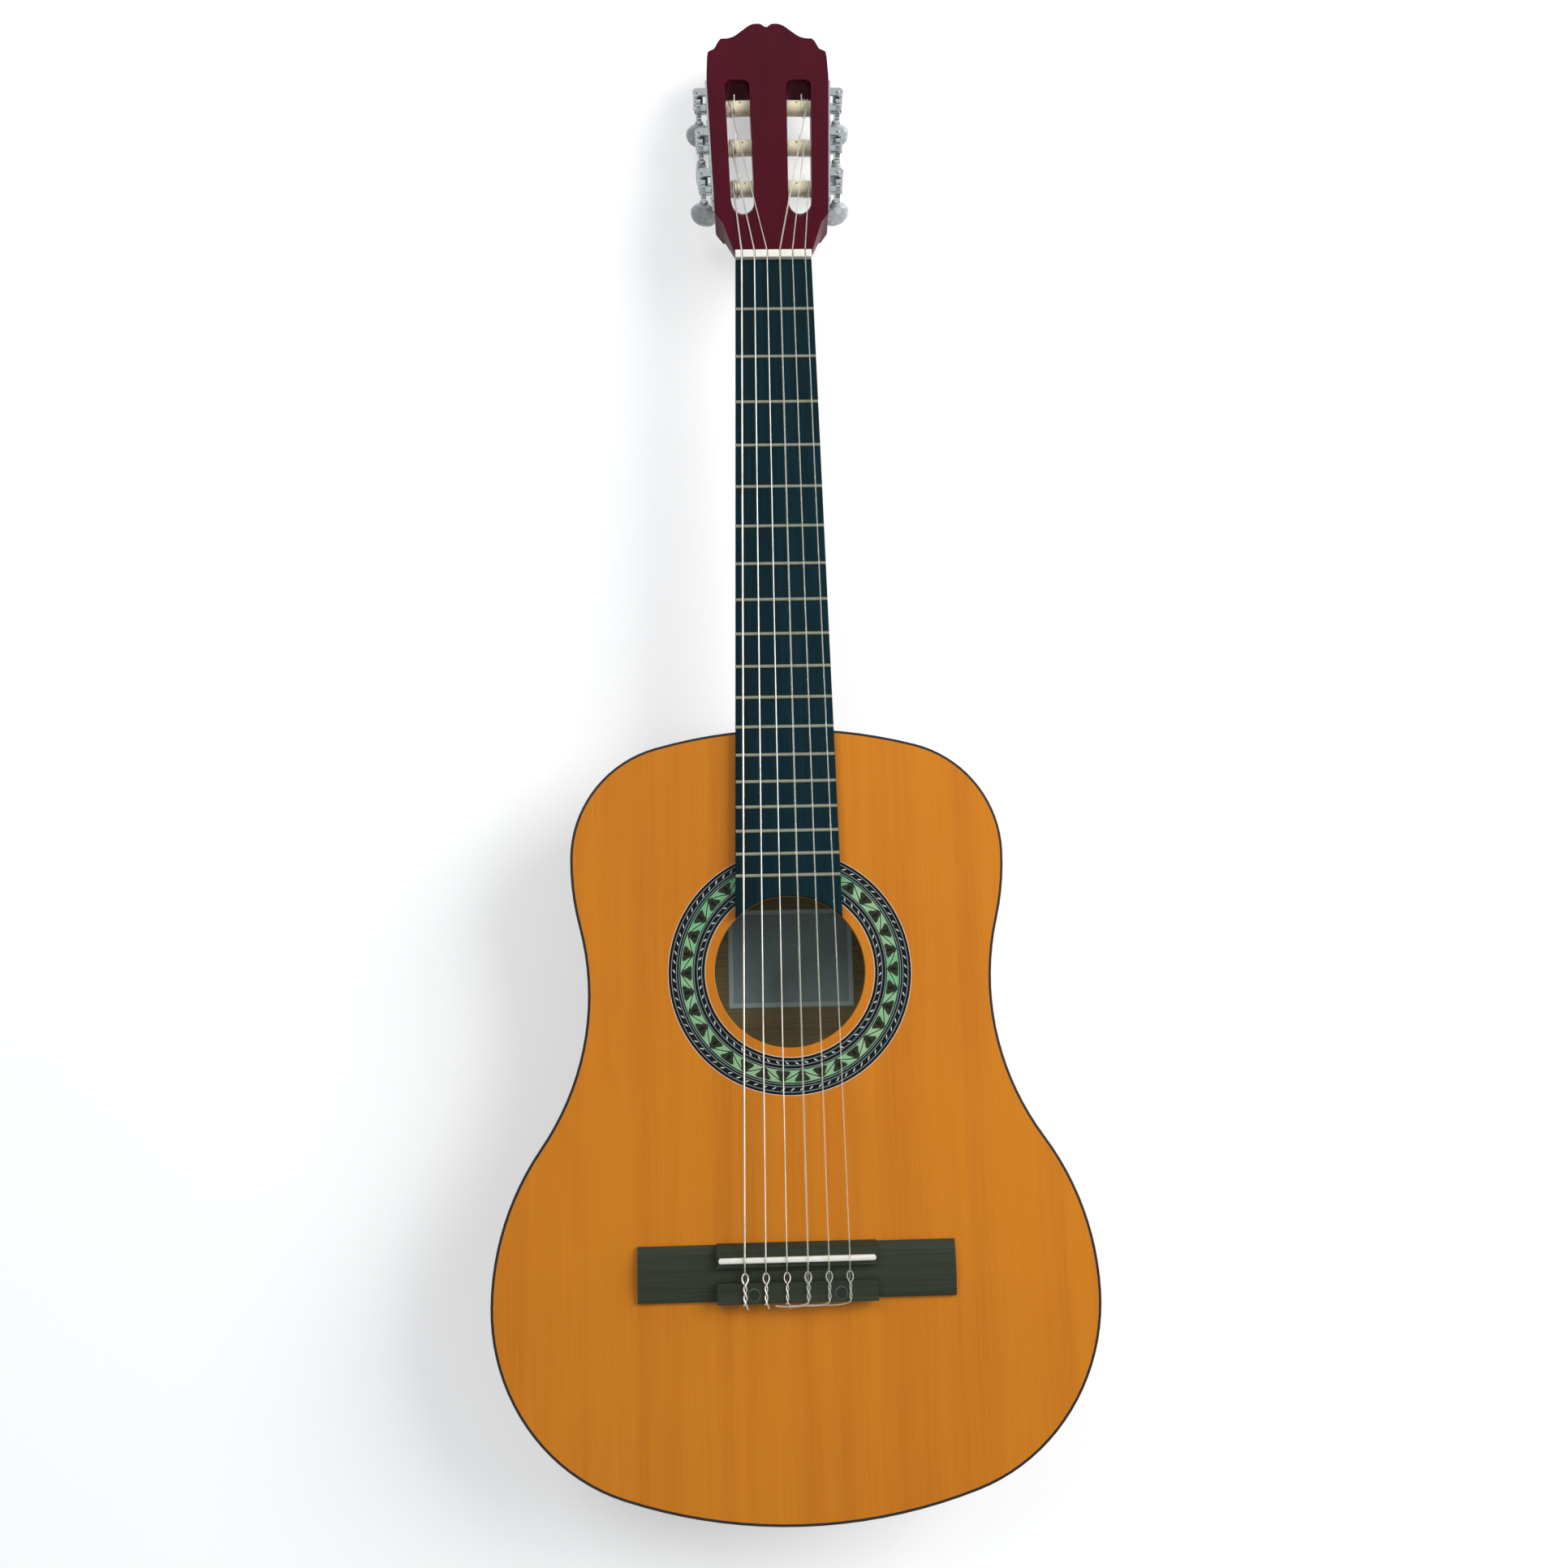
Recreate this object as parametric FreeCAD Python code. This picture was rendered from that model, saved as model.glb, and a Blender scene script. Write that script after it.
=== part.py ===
"""A three-quarter size classical guitar, one solid for each piece of the real instrument.

The pieces are drawn in the frame of the soundboard: X towards the treble side, Y from the
saddle towards the head, Z out of the soundboard, whose outer face is Z = 0. As the last step
all pieces are turned and lifted as one, so that the flat back lies on Z = 0.
"""
import FreeCAD
import Part
import math
import os
from FreeCAD import Placement, Rotation, Vector

# Scale, strings and frets
scale_length = 590.0
body_fret = 12
fret_count = 18
string_diameters = {1: 0.71, 2: 0.82, 3: 1.02, 4: 0.74, 5: 0.89, 6: 1.09}
nut_string_span = 39.1
saddle_string_span = 56.7
string_rest_gap = 0.1

# Body outline, from the neck joint down to the tail
body_length = 432.0
upper_bout_width = 248.6
upper_bout_from_joint = 73.9
waist_width = 227.9
waist_from_joint = 152.1
lower_bout_width = 332.3
lower_bout_from_joint = 317.1
shoulder_angle = 15.3
tail_angle = 18.4

# Body depths and walls
tail_depth = 88.0
joint_depth = 84.0
top_thickness = 2.4
back_thickness = 3.0
side_thickness = 2.0
binding_thickness = 1.6
lining_thickness = 5.0
lining_height = 12.0

# Soundhole, rosette and label
soundhole_radius = 42.6
soundhole_from_joint = 140.3
rosette_depth = 0.8
rosette_inner_radius = 47.8
rosette_outer_radius = 69.0
reinforcement_width = 20.0
reinforcement_thickness = 2.0
reinforcement_corner = 22.0
label_length = 78.0
label_width = 61.0
label_thickness = 0.3
label_off_centre = 3.0
label_from_soundhole = 11.5

# Blocks and braces inside the body
neck_block_width = 62.0
neck_block_depth = 26.0
tail_block_width = 60.0
tail_block_depth = 12.0
tenon_width = 20.0
tenon_depth = 14.0
tenon_from_top = 9.0
tenon_height = 58.0
brace_width = 7.0
brace_height = 12.0
brace_end_height = 5.0
brace_end_taper = 32.0
brace_from_soundhole = 8.5
back_brace_above_label = 27.3
back_brace_below_label = 69.7
back_brace_tail_share = 0.1736
fan_brace_width = 5.5
fan_brace_height = 5.0
fan_brace_length = 190.0
fan_brace_count = 5
fan_brace_spacing = 42.0
fan_brace_top_gap = 4.0
fan_brace_splay = 5.5
patch_width = 190.0
patch_depth = 38.0
patch_thickness = 2.2

# Neck and heel
nut_width = 47.0
nut_thickness = 5.0
nut_height = 8.9
string_height_at_nut = 7.5
joint_neck_width = 57.0
fingerboard_thickness = 5.7
neck_wall = 2.5
neck_depth_at_nut = 15.0
neck_depth_at_joint = 18.5
neck_flat_width = 15.0
neck_bulge_share = 0.17
corner_bulge_share = 0.207
flank_points = 6
heel_levels = (8.0, 16.0, 21.0, 29.0, 42.0, 92.0)
heel_widths = (50.0, 48.5, 45.0, 39.5, 33.5, 24.0)
heel_reaches = (80.0, 54.0, 40.0, 29.0, 22.0, 15.5)
heel_bulge_share = 0.16
heel_cap_step = 0.6
joint_overlap = 12.0

# Frets
fret_crown_width = 2.2
fret_crown_height = 1.0
crown_points = 6
fret_tang_width = 0.6
fret_tang_depth = 1.6
fret_end_setback = 0.3

# Head
head_angle = 12.0
scarf_angle = 12.0
head_length = 199.5
head_thickness = 16.0
veneer_thickness = 2.0
head_root_length = 26.0
head_root_width = 62.0
head_root_wall = 12.5
head_root_flat_width = 55.0
knee_place = 33.5
knee_width = 71.5
knee_radius = 6.0
side_end_place = 151.0
side_end_width = 80.8
side_end_radius = 60.0
crest_width = 80.0
crest_shares = (
    (0.998, 0.845, 0.030),
    (0.985, 0.870, 0.000),
    (0.878, 0.884, 0.010),
    (0.812, 0.917, 0.010),
    (0.765, 0.931, 0.004),
    (0.590, 0.931, 0.060),
    (0.235, 1.003, 0.045),
    (0.085, 0.999, 0.012),
    (0.000, 0.980, 0.010),
)

# String slots and ramps of the head
slot_bottom = 37.5
slot_top = 148.0
slot_inner_at_bottom = 10.6
slot_outer_at_bottom = 25.4
slot_inner_at_top = 12.4
slot_outer_at_top = 28.5
slot_corner_radius = 4.5
slot_end_share = 0.49
ramp_start = 30.0
ramp_angle = 32.0
ramp_length = 22.0
ramp_run_in = 8.0

# Tuning machines
tuner_spacing = 35.0
first_roller_place = 62.0
roller_depth = 7.5
roller_radius = 5.0
roller_length = 30.0
roller_bore_gap = 0.1
roller_end_gap = 0.3
spigot_radius = 2.0
plate_thickness = 1.2
plate_width = 15.0
plate_overhang = 12.5
plate_corner_radius = 5.0
gear_teeth = 14
gear_pitch_radius = 6.0
gear_width = 3.0
worm_offset = 6.4
hub_radius = 3.2
hub_sides = 12
bore_sides = 16
tie_hole_sides = 6
hub_gap = 0.15
seat_gap = 0.05
gear_screw_radius = 2.6
gear_screw_height = 1.3
worm_pitch_radius = 2.75
thread_turns = 3.5
thread_steps = 12
tooth_addendum = 0.62
tooth_dedendum = 0.92
worm_tooth_share = 0.34
gear_tooth_share = 0.40
flank_angle = 20.0
thread_root_sink = 0.15
lug_gap = 11.2
lug_thickness = 1.2
lug_radius = 3.3
lug_corner_share = 0.41
lug_play = 0.1
pivot_gap = 0.06
top_pivot_radius = 1.4
top_pivot_stand = 0.8
stem_radius = 1.8
collar_radius = 2.8
collar_height = 1.6
button_depth = 28.0
button_height = 19.0
button_bore_depth = 11.0
button_width = 18.6
button_thickness = 8.4
button_edge_share = 0.45
button_shares = (
    (0.00, 0.36, 0.78),
    (0.12, 0.36, 0.72),
    (0.22, 0.62, 0.74),
    (0.34, 0.90, 0.84),
    (0.48, 1.00, 0.95),
    (0.72, 0.97, 1.00),
    (0.90, 0.80, 0.90),
    (1.00, 0.50, 0.55),
)
button_turns = {1: 110.0, 2: 0.0, 3: 95.0, 4: 82.0, 5: 0.0, 6: 74.0}
plate_screw_places = (-8.6, 22.0, 57.0, 86.2)
screw_head_radius = 2.3
screw_head_height = 0.9
screw_radius = 1.1
screw_length = 8.0

# Winding of the strings on the rollers
winding_turns = 2
winding_seat_gap = 0.12
winding_gap = 0.9
string_tail = 5.0
landing_insets = {1: 1.6, 2: 4.2, 3: 2.2, 4: 2.4, 5: 1.7, 6: 1.7}
tube_sides = 4
nut_bend_radius = 6.0
straight_limit = 0.0001
gap_steps = 8
gap_skip_diameters = 5.0

# Bridge and saddle
bridge_width = 173.0
bridge_centre_width = 87.0
bridge_front = 8.0
bridge_rear = 22.5
bridge_height = 8.2
bridge_front_wall = 4.6
bridge_front_bevel = 3.0
trough_front = 3.8
trough_rear = 11.6
trough_height = 4.2
tie_block_height = 8.8
wing_wall = 2.2
wing_height = 4.4
wing_setback = 0.6
saddle_length = 85.0
saddle_thickness = 3.0
saddle_bottom = 3.4
saddle_top = 10.8
saddle_crown_radius = 1.1
saddle_slot_gap = 0.1
tie_hole_height = 4.9
tie_hole_radius = 0.8
tie_bend_radius = 1.3
tie_reach = 0.6
hole_bend_radius = 2.5
saddle_bend_radius = 3.0
plug_places = 23.5
plug_from_rear = 4.7
plug_radius = 3.4
plug_height = 2.0
bolt_radius = 2.0
bolt_below_patch = 6.0
bolt_nut_radius = 4.0
bolt_nut_height = 3.2

# One overrun for every cutting tool
overrun = 40.0

joint_y = scale_length / 2 ** (body_fret / 12)
tail_y = joint_y - body_length
soundhole_y = joint_y - soundhole_from_joint
label_y = soundhole_y + label_from_soundhole
back_brace_places = (label_y + label_width / 2 + back_brace_above_label,
                     label_y - label_width / 2 - back_brace_below_label,
                     tail_y + back_brace_tail_share * body_length)
nut_outer_y = scale_length + nut_thickness
back_slope = math.degrees(math.atan((tail_depth - joint_depth) / body_length))
depth_at_saddle = joint_depth + (tail_depth - joint_depth) * joint_y / body_length
worm_pitch = 2 * math.pi * gear_pitch_radius / gear_teeth
axis_distance = gear_pitch_radius + worm_pitch_radius
worm_root_radius = worm_pitch_radius - tooth_dedendum
worm_outer_radius = worm_pitch_radius + tooth_addendum
side_splay = math.degrees(math.atan(
    (side_end_width - knee_width) / 2 / (side_end_place - knee_place)))

# The back's outer face as a placed frame, and the turn that brings it down to Z = 0
back_frame = Placement(Vector(0, 0, -depth_at_saddle), Rotation(Vector(1, 0, 0), back_slope))
rest_frame = back_frame.inverse()
# The head's wooden face: X across, Y from the nut towards the crest, Z out of the face
head_frame = Placement(Vector(0, nut_outer_y, 0), Rotation(Vector(1, 0, 0), -head_angle))


def span_box(x_span, y_span, z_span):
    """Box between three pairs of limits."""
    size = Vector(x_span[1] - x_span[0], y_span[1] - y_span[0], z_span[1] - z_span[0])
    return Part.makeBox(size.x, size.y, size.z, Vector(x_span[0], y_span[0], z_span[0]))


def placed(shape, place):
    """Copy of a shape, moved by a placement on top of its own."""
    moved = shape.copy()
    moved.Placement = place.multiply(moved.Placement)
    return moved


def cylinder(radius, low, high):
    """Cylinder about Z between two heights."""
    return Part.makeCylinder(radius, high - low, Vector(0, 0, low))


def tangent_arc(start, corner, end):
    """Arc between the ends of two equal legs that meet at a corner, tangent to both."""
    middle = (start + end) * 0.5
    if (corner - middle).Length < straight_limit:
        return Part.LineSegment(start, end).toShape()
    cosine = (middle - start).Length / (corner - start).Length
    top = middle + (corner - middle) * (cosine / (1 + cosine))
    return Part.Arc(start, top, end).toShape()


def rounded_run(points, radii, closed):
    """Edges of straight runs joined by tangent arcs, with one radius for each corner."""
    count = len(points)
    stops = []
    for index, point in enumerate(points):
        radius = radii[index]
        inner = closed or 0 < index < count - 1
        if radius > 0 and inner:
            to_last = (points[index - 1] - point).normalize()
            to_next = (points[(index + 1) % count] - point).normalize()
            leg = radius / math.tan(to_last.getAngle(to_next) / 2)
            stops.append((point + to_last * leg, point, point + to_next * leg))
        else:
            stops.append((point, point, point))
    edges = []
    for index, (enter, corner, leave) in enumerate(stops):
        if (leave - enter).Length > straight_limit:
            edges.append(tangent_arc(enter, corner, leave))
        following = stops[(index + 1) % count][0]
        last = index == count - 1 and not closed
        if not last and (following - leave).Length > straight_limit:
            edges.append(Part.LineSegment(leave, following).toShape())
    return edges


def rounded_face(points, radii):
    """Plane face with a closed outline of straight runs and tangent arcs."""
    return Part.Face(Part.Wire(rounded_run(points, radii, True)))


def prism(corner_radius, sides, low, high):
    """Regular prism about Z, with its first corner on X."""
    corners = [Rotation(Vector(0, 0, 1), 360 / sides * step).multVec(Vector(corner_radius, 0, low))
               for step in range(sides)]
    face = Part.Face(Part.makePolygon(corners + [corners[0]]))
    return face.extrude(Vector(0, 0, high - low))


def bore(radius, sides, low, high):
    """Facetted bore about Z that clears a round of the given radius."""
    return prism(radius / math.cos(math.pi / sides), sides, low, high)


def end_and_side_radii(half_width, height, angle):
    """Radii of the flat arc over the end and of the tighter arc beside it, which meet tangent."""
    sine = math.sin(math.radians(angle))
    cosine = math.cos(math.radians(angle))
    share = sine + cosine - 1
    end_radius = (half_width * cosine - height * (1 - sine)) / share
    side_radius = (height * sine - half_width * (1 - cosine)) / share
    return end_radius, side_radius


def waist_radius_and_turn(width_step, length_step):
    """Radius and turn of the two equal arcs that join a bout to the waist."""
    radius = (width_step ** 2 + length_step ** 2) / (4 * width_step)
    return radius, 2 * math.atan(width_step / length_step)


def body_arcs(inset):
    """Arcs of the treble half of the body outline, moved inwards by an inset."""
    upper, waist, lower = upper_bout_width / 2, waist_width / 2, lower_bout_width / 2
    upper_y = joint_y - upper_bout_from_joint
    waist_y = joint_y - waist_from_joint
    lower_y = joint_y - lower_bout_from_joint
    front, shoulder = end_and_side_radii(upper, joint_y - upper_y, shoulder_angle)
    tail, hip = end_and_side_radii(lower, lower_y - tail_y, tail_angle)
    high_waist, high_turn = waist_radius_and_turn(upper - waist, upper_y - waist_y)
    low_waist, low_turn = waist_radius_and_turn(lower - waist, waist_y - lower_y)
    quarter = math.pi / 2
    front_start = quarter - math.radians(shoulder_angle)
    tail_start = quarter - math.radians(tail_angle)
    return [
        ((0, joint_y - front), front - inset, front_start, quarter),
        ((upper - shoulder, upper_y), shoulder - inset, 0, front_start),
        ((upper - high_waist, upper_y), high_waist - inset, -high_turn, 0),
        ((waist + high_waist, waist_y), high_waist + inset, math.pi - high_turn, math.pi),
        ((waist + low_waist, waist_y), low_waist + inset, math.pi, math.pi + low_turn),
        ((lower - low_waist, lower_y), low_waist - inset, 0, low_turn),
        ((lower - hip, lower_y), hip - inset, -tail_start, 0),
        ((0, tail_y + tail), tail - inset, -quarter, -tail_start),
    ]


def outline_slab(inset, low, high):
    """The body outline, moved inwards by an inset and drawn between two heights."""
    edges = []
    for (x, y), radius, start, end in body_arcs(inset):
        for centre_x, first, last in ((x, start, end), (-x, math.pi - end, math.pi - start)):
            circle = Part.Circle(Vector(centre_x, y, low), Vector(0, 0, 1), radius)
            edges.append(Part.ArcOfCircle(circle, first, last).toShape())
    face = Part.Face(Part.Wire(Part.__sortEdges__(edges)))
    return face.extrude(Vector(0, 0, high - low))


def back_layer(low, high):
    """All space between two planes parallel to the back, measured up from its outer face."""
    reach = scale_length + lower_bout_width
    layer = span_box((-reach, reach), (-reach, reach), (low, high))
    return placed(layer, back_frame)


def outline_ring(outer_inset, inner_inset, low, high):
    """Wall that follows the body outline between two insets."""
    return outline_slab(outer_inset, low, high).cut(outline_slab(inner_inset, low, high))


def body_space(inset):
    """Space inside the body at an inset from the outline, from the top down past the back."""
    return outline_slab(inset, -tail_depth - overrun, -top_thickness)


def inner_space(inset):
    """Space between the top and the back at an inset from the outline."""
    return body_space(inset).common(back_layer(back_thickness, tail_depth + overrun))


def soundhole_cylinder(radius, low, high):
    """Cylinder on the soundhole's axis."""
    return placed(cylinder(radius, low, high), Placement(Vector(0, soundhole_y, 0), Rotation()))


def make_top_plate():
    """Soundboard with its soundhole, the rosette's groove and the bores of the bridge bolts."""
    plate = outline_slab(binding_thickness, -top_thickness, 0)
    plate = plate.cut(soundhole_cylinder(soundhole_radius, -overrun, overrun))
    return plate.cut(make_rosette()).cut(bolt_bores())


def make_rosette():
    """Inlaid ring round the soundhole, flush with the soundboard."""
    ring = soundhole_cylinder(rosette_outer_radius, -rosette_depth, 0)
    return ring.cut(soundhole_cylinder(rosette_inner_radius, -rosette_depth, 0))


def make_soundhole_reinforcement():
    """Patch under the soundboard round the soundhole, between the two cross braces."""
    wide = soundhole_radius + reinforcement_width
    long = soundhole_radius + brace_from_soundhole
    corner = reinforcement_corner
    low = -top_thickness - reinforcement_thickness
    points = [Vector(x, soundhole_y + y, low) for x, y in (
        (wide, corner - long), (wide, long - corner), (wide - corner, long),
        (corner - wide, long), (-wide, long - corner), (-wide, corner - long),
        (corner - wide, -long), (wide - corner, -long))]
    patch = Part.Face(Part.makePolygon(points + [points[0]]))
    patch = patch.extrude(Vector(0, 0, reinforcement_thickness))
    return patch.cut(soundhole_cylinder(soundhole_radius, low, -top_thickness))


def make_bindings():
    """Binding round the edge of the top, and the one round the edge of the back."""
    ring = outline_ring(0, binding_thickness, -tail_depth - overrun, 0)
    top = outline_ring(0, binding_thickness, -top_thickness, 0)
    return top, ring.common(back_layer(0, back_thickness))


def make_back_plate():
    """Flat back inside its binding."""
    plate = outline_slab(binding_thickness, -tail_depth - overrun, 0)
    return plate.common(back_layer(0, back_thickness))


def tenon_box():
    """Tenon of the neck, which goes through the sides into the neck block."""
    return span_box((-tenon_width / 2, tenon_width / 2),
                    (joint_y - side_thickness - tenon_depth, joint_y + joint_overlap),
                    (-tenon_from_top - tenon_height, -tenon_from_top))


def make_sides():
    """The two bent sides, which meet on the centre line."""
    wall = body_space(0).cut(body_space(side_thickness))
    wall = wall.common(back_layer(back_thickness, tail_depth + overrun)).cut(tenon_box())
    half = lower_bout_width
    depth = tail_depth + overrun
    return [wall.common(span_box(span, (tail_y - overrun, joint_y + overrun), (-depth, 0)))
            for span in ((-half, 0), (0, half))]


def block_space(width, y_span):
    """Space of an end block: a box across the body at one of its ends."""
    return span_box((-width / 2, width / 2), y_span, (-tail_depth - overrun, 0))


def neck_block_space():
    """Space of the neck block."""
    rear = joint_y - side_thickness - neck_block_depth
    return block_space(neck_block_width, (rear, joint_y))


def tail_block_space():
    """Space of the tail block."""
    return block_space(tail_block_width, (tail_y, tail_y + side_thickness + tail_block_depth))


def make_blocks():
    """Neck block with its mortise, and tail block."""
    inside = inner_space(side_thickness)
    return inside.common(neck_block_space()).cut(tenon_box()), inside.common(tail_block_space())


def make_linings():
    """Strips along the sides that widen the gluing faces for the top and the back."""
    ring = inner_space(side_thickness).cut(inner_space(side_thickness + lining_thickness))
    ring = ring.cut(neck_block_space()).cut(tail_block_space())
    low = -top_thickness - lining_height
    reach = lower_bout_width
    top_band = span_box((-reach, reach), (tail_y, joint_y), (low, -top_thickness))
    back_band = back_layer(back_thickness, back_thickness + lining_height)
    return ring.common(top_band), ring.common(back_band)


def tapered_brace(half_length):
    """Brace along X that rises from Z = 0, with its two ends thinned."""
    taper = half_length - brace_end_taper
    points = [Vector(x, -brace_width / 2, z) for x, z in (
        (-half_length, 0), (half_length, 0), (half_length, brace_end_height),
        (taper, brace_height), (-taper, brace_height), (-half_length, brace_end_height))]
    face = Part.Face(Part.makePolygon(points + [points[0]]))
    return face.extrude(Vector(0, brace_width, 0))


def outline_half_width(y, inset):
    """Half of the body's inner width at a place along it."""
    reach = lower_bout_width
    probe = Part.makePlane(reach, brace_width, Vector(0, y - brace_width / 2, 0))
    return probe.common(outline_slab(inset, -overrun, overrun)).BoundBox.XMax


def make_top_cross_braces():
    """Two braces across the top, one on each side of the soundhole."""
    inside = inner_space(side_thickness + lining_thickness)
    step = soundhole_radius + brace_from_soundhole + brace_width / 2
    braces = []
    for y in (soundhole_y - step, soundhole_y + step):
        half = outline_half_width(y, side_thickness + lining_thickness)
        upside_down = Placement(Vector(0, y, -top_thickness), Rotation(Vector(0, 1, 0), 180))
        braces.append(placed(tapered_brace(half), upside_down).common(inside))
    return Part.Compound(braces)


def make_back_braces():
    """Three braces across the back."""
    inside = inner_space(side_thickness + lining_thickness)
    braces = []
    for y in back_brace_places:
        half = outline_half_width(y, side_thickness + lining_thickness)
        seat = back_frame.multiply(Placement(Vector(0, y, back_thickness), Rotation()))
        braces.append(placed(tapered_brace(half), seat).common(inside))
    return Part.Compound(braces)


def patch_space():
    """Plate glued under the top below the bridge."""
    middle = (bridge_front - bridge_rear) / 2
    return span_box((-patch_width / 2, patch_width / 2),
                    (middle - patch_depth / 2, middle + patch_depth / 2),
                    (-top_thickness - patch_thickness, -top_thickness))


def make_fan_braces():
    """Light struts that spread under the lower bout, notched over the bridge patch."""
    lower_brace = soundhole_y - soundhole_radius - brace_from_soundhole - brace_width
    top_y = lower_brace - fan_brace_top_gap
    low = -top_thickness - fan_brace_height
    inside = inner_space(side_thickness + lining_thickness).cut(tail_block_space())
    middle = (fan_brace_count - 1) / 2
    struts = []
    for number in range(fan_brace_count):
        step = number - middle
        strut = span_box((-fan_brace_width / 2, fan_brace_width / 2), (-fan_brace_length, 0),
                         (low, -top_thickness))
        spread = Placement(Vector(step * fan_brace_spacing, top_y, 0),
                           Rotation(Vector(0, 0, 1), step * fan_brace_splay))
        behind = span_box((-patch_width, patch_width), (tail_y, top_y), (low, -top_thickness))
        strut = placed(strut, spread).common(inside).common(behind)
        struts.append(strut.cut(patch_space()).cut(bolt_bores()))
    return Part.Compound(struts)


def make_label():
    """Bare paper label on the inner face of the back, below the soundhole."""
    label = span_box((label_off_centre - label_length / 2, label_off_centre + label_length / 2),
                     (label_y - label_width / 2, label_y + label_width / 2),
                     (back_thickness, back_thickness + label_thickness))
    return placed(label, back_frame)


def neck_half_width(y):
    """Half of the fingerboard's width, which grows evenly from the nut to the body."""
    slope = (joint_neck_width - nut_width) / (scale_length - joint_y)
    return (nut_width + slope * (scale_length - y)) / 2


def neck_section(half_width, wall, flat_half, depth, bulge_share):
    """Closed D section in XZ: flat on top, two short walls, two facetted flanks, a flat below."""
    top = Vector(half_width, 0, 0)
    shoulder = Vector(half_width, 0, -wall)
    foot = Vector(flat_half, 0, -depth)
    chord = foot - shoulder
    outward = Vector(-chord.z, 0, chord.x).normalize()
    bulge = (shoulder + foot) * 0.5 + outward * (chord.Length * bulge_share)
    half = [top] + Part.Arc(shoulder, bulge, foot).toShape().discretize(Number=flank_points)
    other = [Vector(-p.x, 0, p.z) for p in reversed(half)]
    return Part.makePolygon(half + other + [top])


def nut_end_section():
    """Neck section at the outer side of the nut."""
    section = neck_section(nut_width / 2, neck_wall, neck_flat_width / 2, neck_depth_at_nut,
                           neck_bulge_share)
    return placed(section, Placement(Vector(0, nut_outer_y, 0), Rotation()))


def neck_shaft():
    """The whole shaft from the nut's outer side to a little inside the body's outline."""
    end_y = joint_y - joint_overlap
    section = neck_section(neck_half_width(end_y), neck_wall, neck_flat_width / 2,
                           neck_depth_at_joint, neck_bulge_share)
    end = placed(section, Placement(Vector(0, end_y, 0), Rotation()))
    return Part.makeLoft([nut_end_section(), end], True, True)


def heel_section(level, width, reach):
    """Level section of the heel: flat towards the body, two flanks that meet in a nose."""
    base_y = joint_y - joint_overlap
    right = Vector(width / 2, base_y, -level)
    nose = Vector(0, joint_y + reach, -level)
    chord = nose - right
    outward = Vector(chord.y, -chord.x, 0).normalize()
    bulge = (right + nose) * 0.5 + outward * (chord.Length * heel_bulge_share)
    half = Part.Arc(right, bulge, nose).toShape().discretize(Number=flank_points)
    other = [Vector(-p.x, p.y, p.z) for p in reversed(half[:-1])]
    return Part.makePolygon(half + other + [half[0]])


def make_heel():
    """Heel that flows out of the neck and stops at the back."""
    sections = [heel_section(*values) for values in zip(heel_levels, heel_widths, heel_reaches)]
    heel = Part.makeLoft(sections, True, True)
    return heel.common(back_layer(heel_cap_step, tail_depth + overrun))


def below_scarf():
    """Space on the head's side of the glue line of the scarf joint."""
    reach = scale_length
    space = span_box((-reach, reach), (-reach, 0), (-reach, 0))
    turn = Rotation(Vector(1, 0, 0), scarf_angle)
    return placed(space, Placement(Vector(0, nut_outer_y, 0), turn))


def make_neck():
    """Neck with heel and tenon, up to the scarf joint."""
    neck = neck_shaft().fuse(make_heel())
    neck = neck.cut(outline_slab(0, -tail_depth - overrun, 0)).cut(below_scarf())
    return neck.fuse(tenon_box().common(body_space(0))).removeSplitter()


def head_outline():
    """Front outline of the head: narrow at the nut, knees, long sides and a carved crest."""
    half = [(Vector(nut_width / 2, -veneer_thickness, 0), 0),
            (Vector(nut_width / 2, 0, 0), 0),
            (Vector(head_root_width / 2, head_root_length, 0), 0),
            (Vector(knee_width / 2, knee_place, 0), knee_radius),
            (Vector(side_end_width / 2, side_end_place, 0), side_end_radius)]
    for width_share, place_share, radius_share in crest_shares:
        corner = Vector(crest_width / 2 * width_share, head_length * place_share, 0)
        half.append((corner, head_length * radius_share))
    other = [(Vector(-p.x, p.y, 0), radius) for p, radius in reversed(half) if p.x > 0]
    corners = half + other
    return rounded_face([p for p, radius in corners], [radius for p, radius in corners])


def slot_face(side):
    """Outline of one string slot, which follows the splay of the head's side."""
    bottom_radius = (slot_outer_at_bottom - slot_inner_at_bottom) * slot_end_share
    points = [Vector(side * slot_inner_at_bottom, slot_bottom, 0),
              Vector(side * slot_outer_at_bottom, slot_bottom, 0),
              Vector(side * slot_outer_at_top, slot_top, 0),
              Vector(side * slot_inner_at_top, slot_top, 0)]
    radii = [bottom_radius, bottom_radius, slot_corner_radius, slot_corner_radius]
    return rounded_face(points, radii)


def slot_tools():
    """Cutters of the two slots and of the ramps that lead the strings into them."""
    tools = []
    radius = (slot_outer_at_bottom - slot_inner_at_bottom) * slot_end_share
    middle = (slot_outer_at_bottom + slot_inner_at_bottom) / 2
    rise = math.radians(ramp_angle)
    for side in (-1, 1):
        face = slot_face(side)
        face.translate(Vector(0, 0, -head_thickness - overrun))
        tools.append(face.extrude(Vector(0, 0, head_thickness + 2 * overrun)))
        ramp_axis = Vector(side * middle, ramp_start + radius * math.sin(rise),
                           veneer_thickness + radius * math.cos(rise))
        ramp = cylinder(radius, -ramp_run_in, ramp_length)
        turn = Rotation(Vector(1, 0, 0), -90 - ramp_angle)
        tools.append(placed(ramp, Placement(ramp_axis, turn)))
    return [placed(tool, head_frame) for tool in tools]


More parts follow.
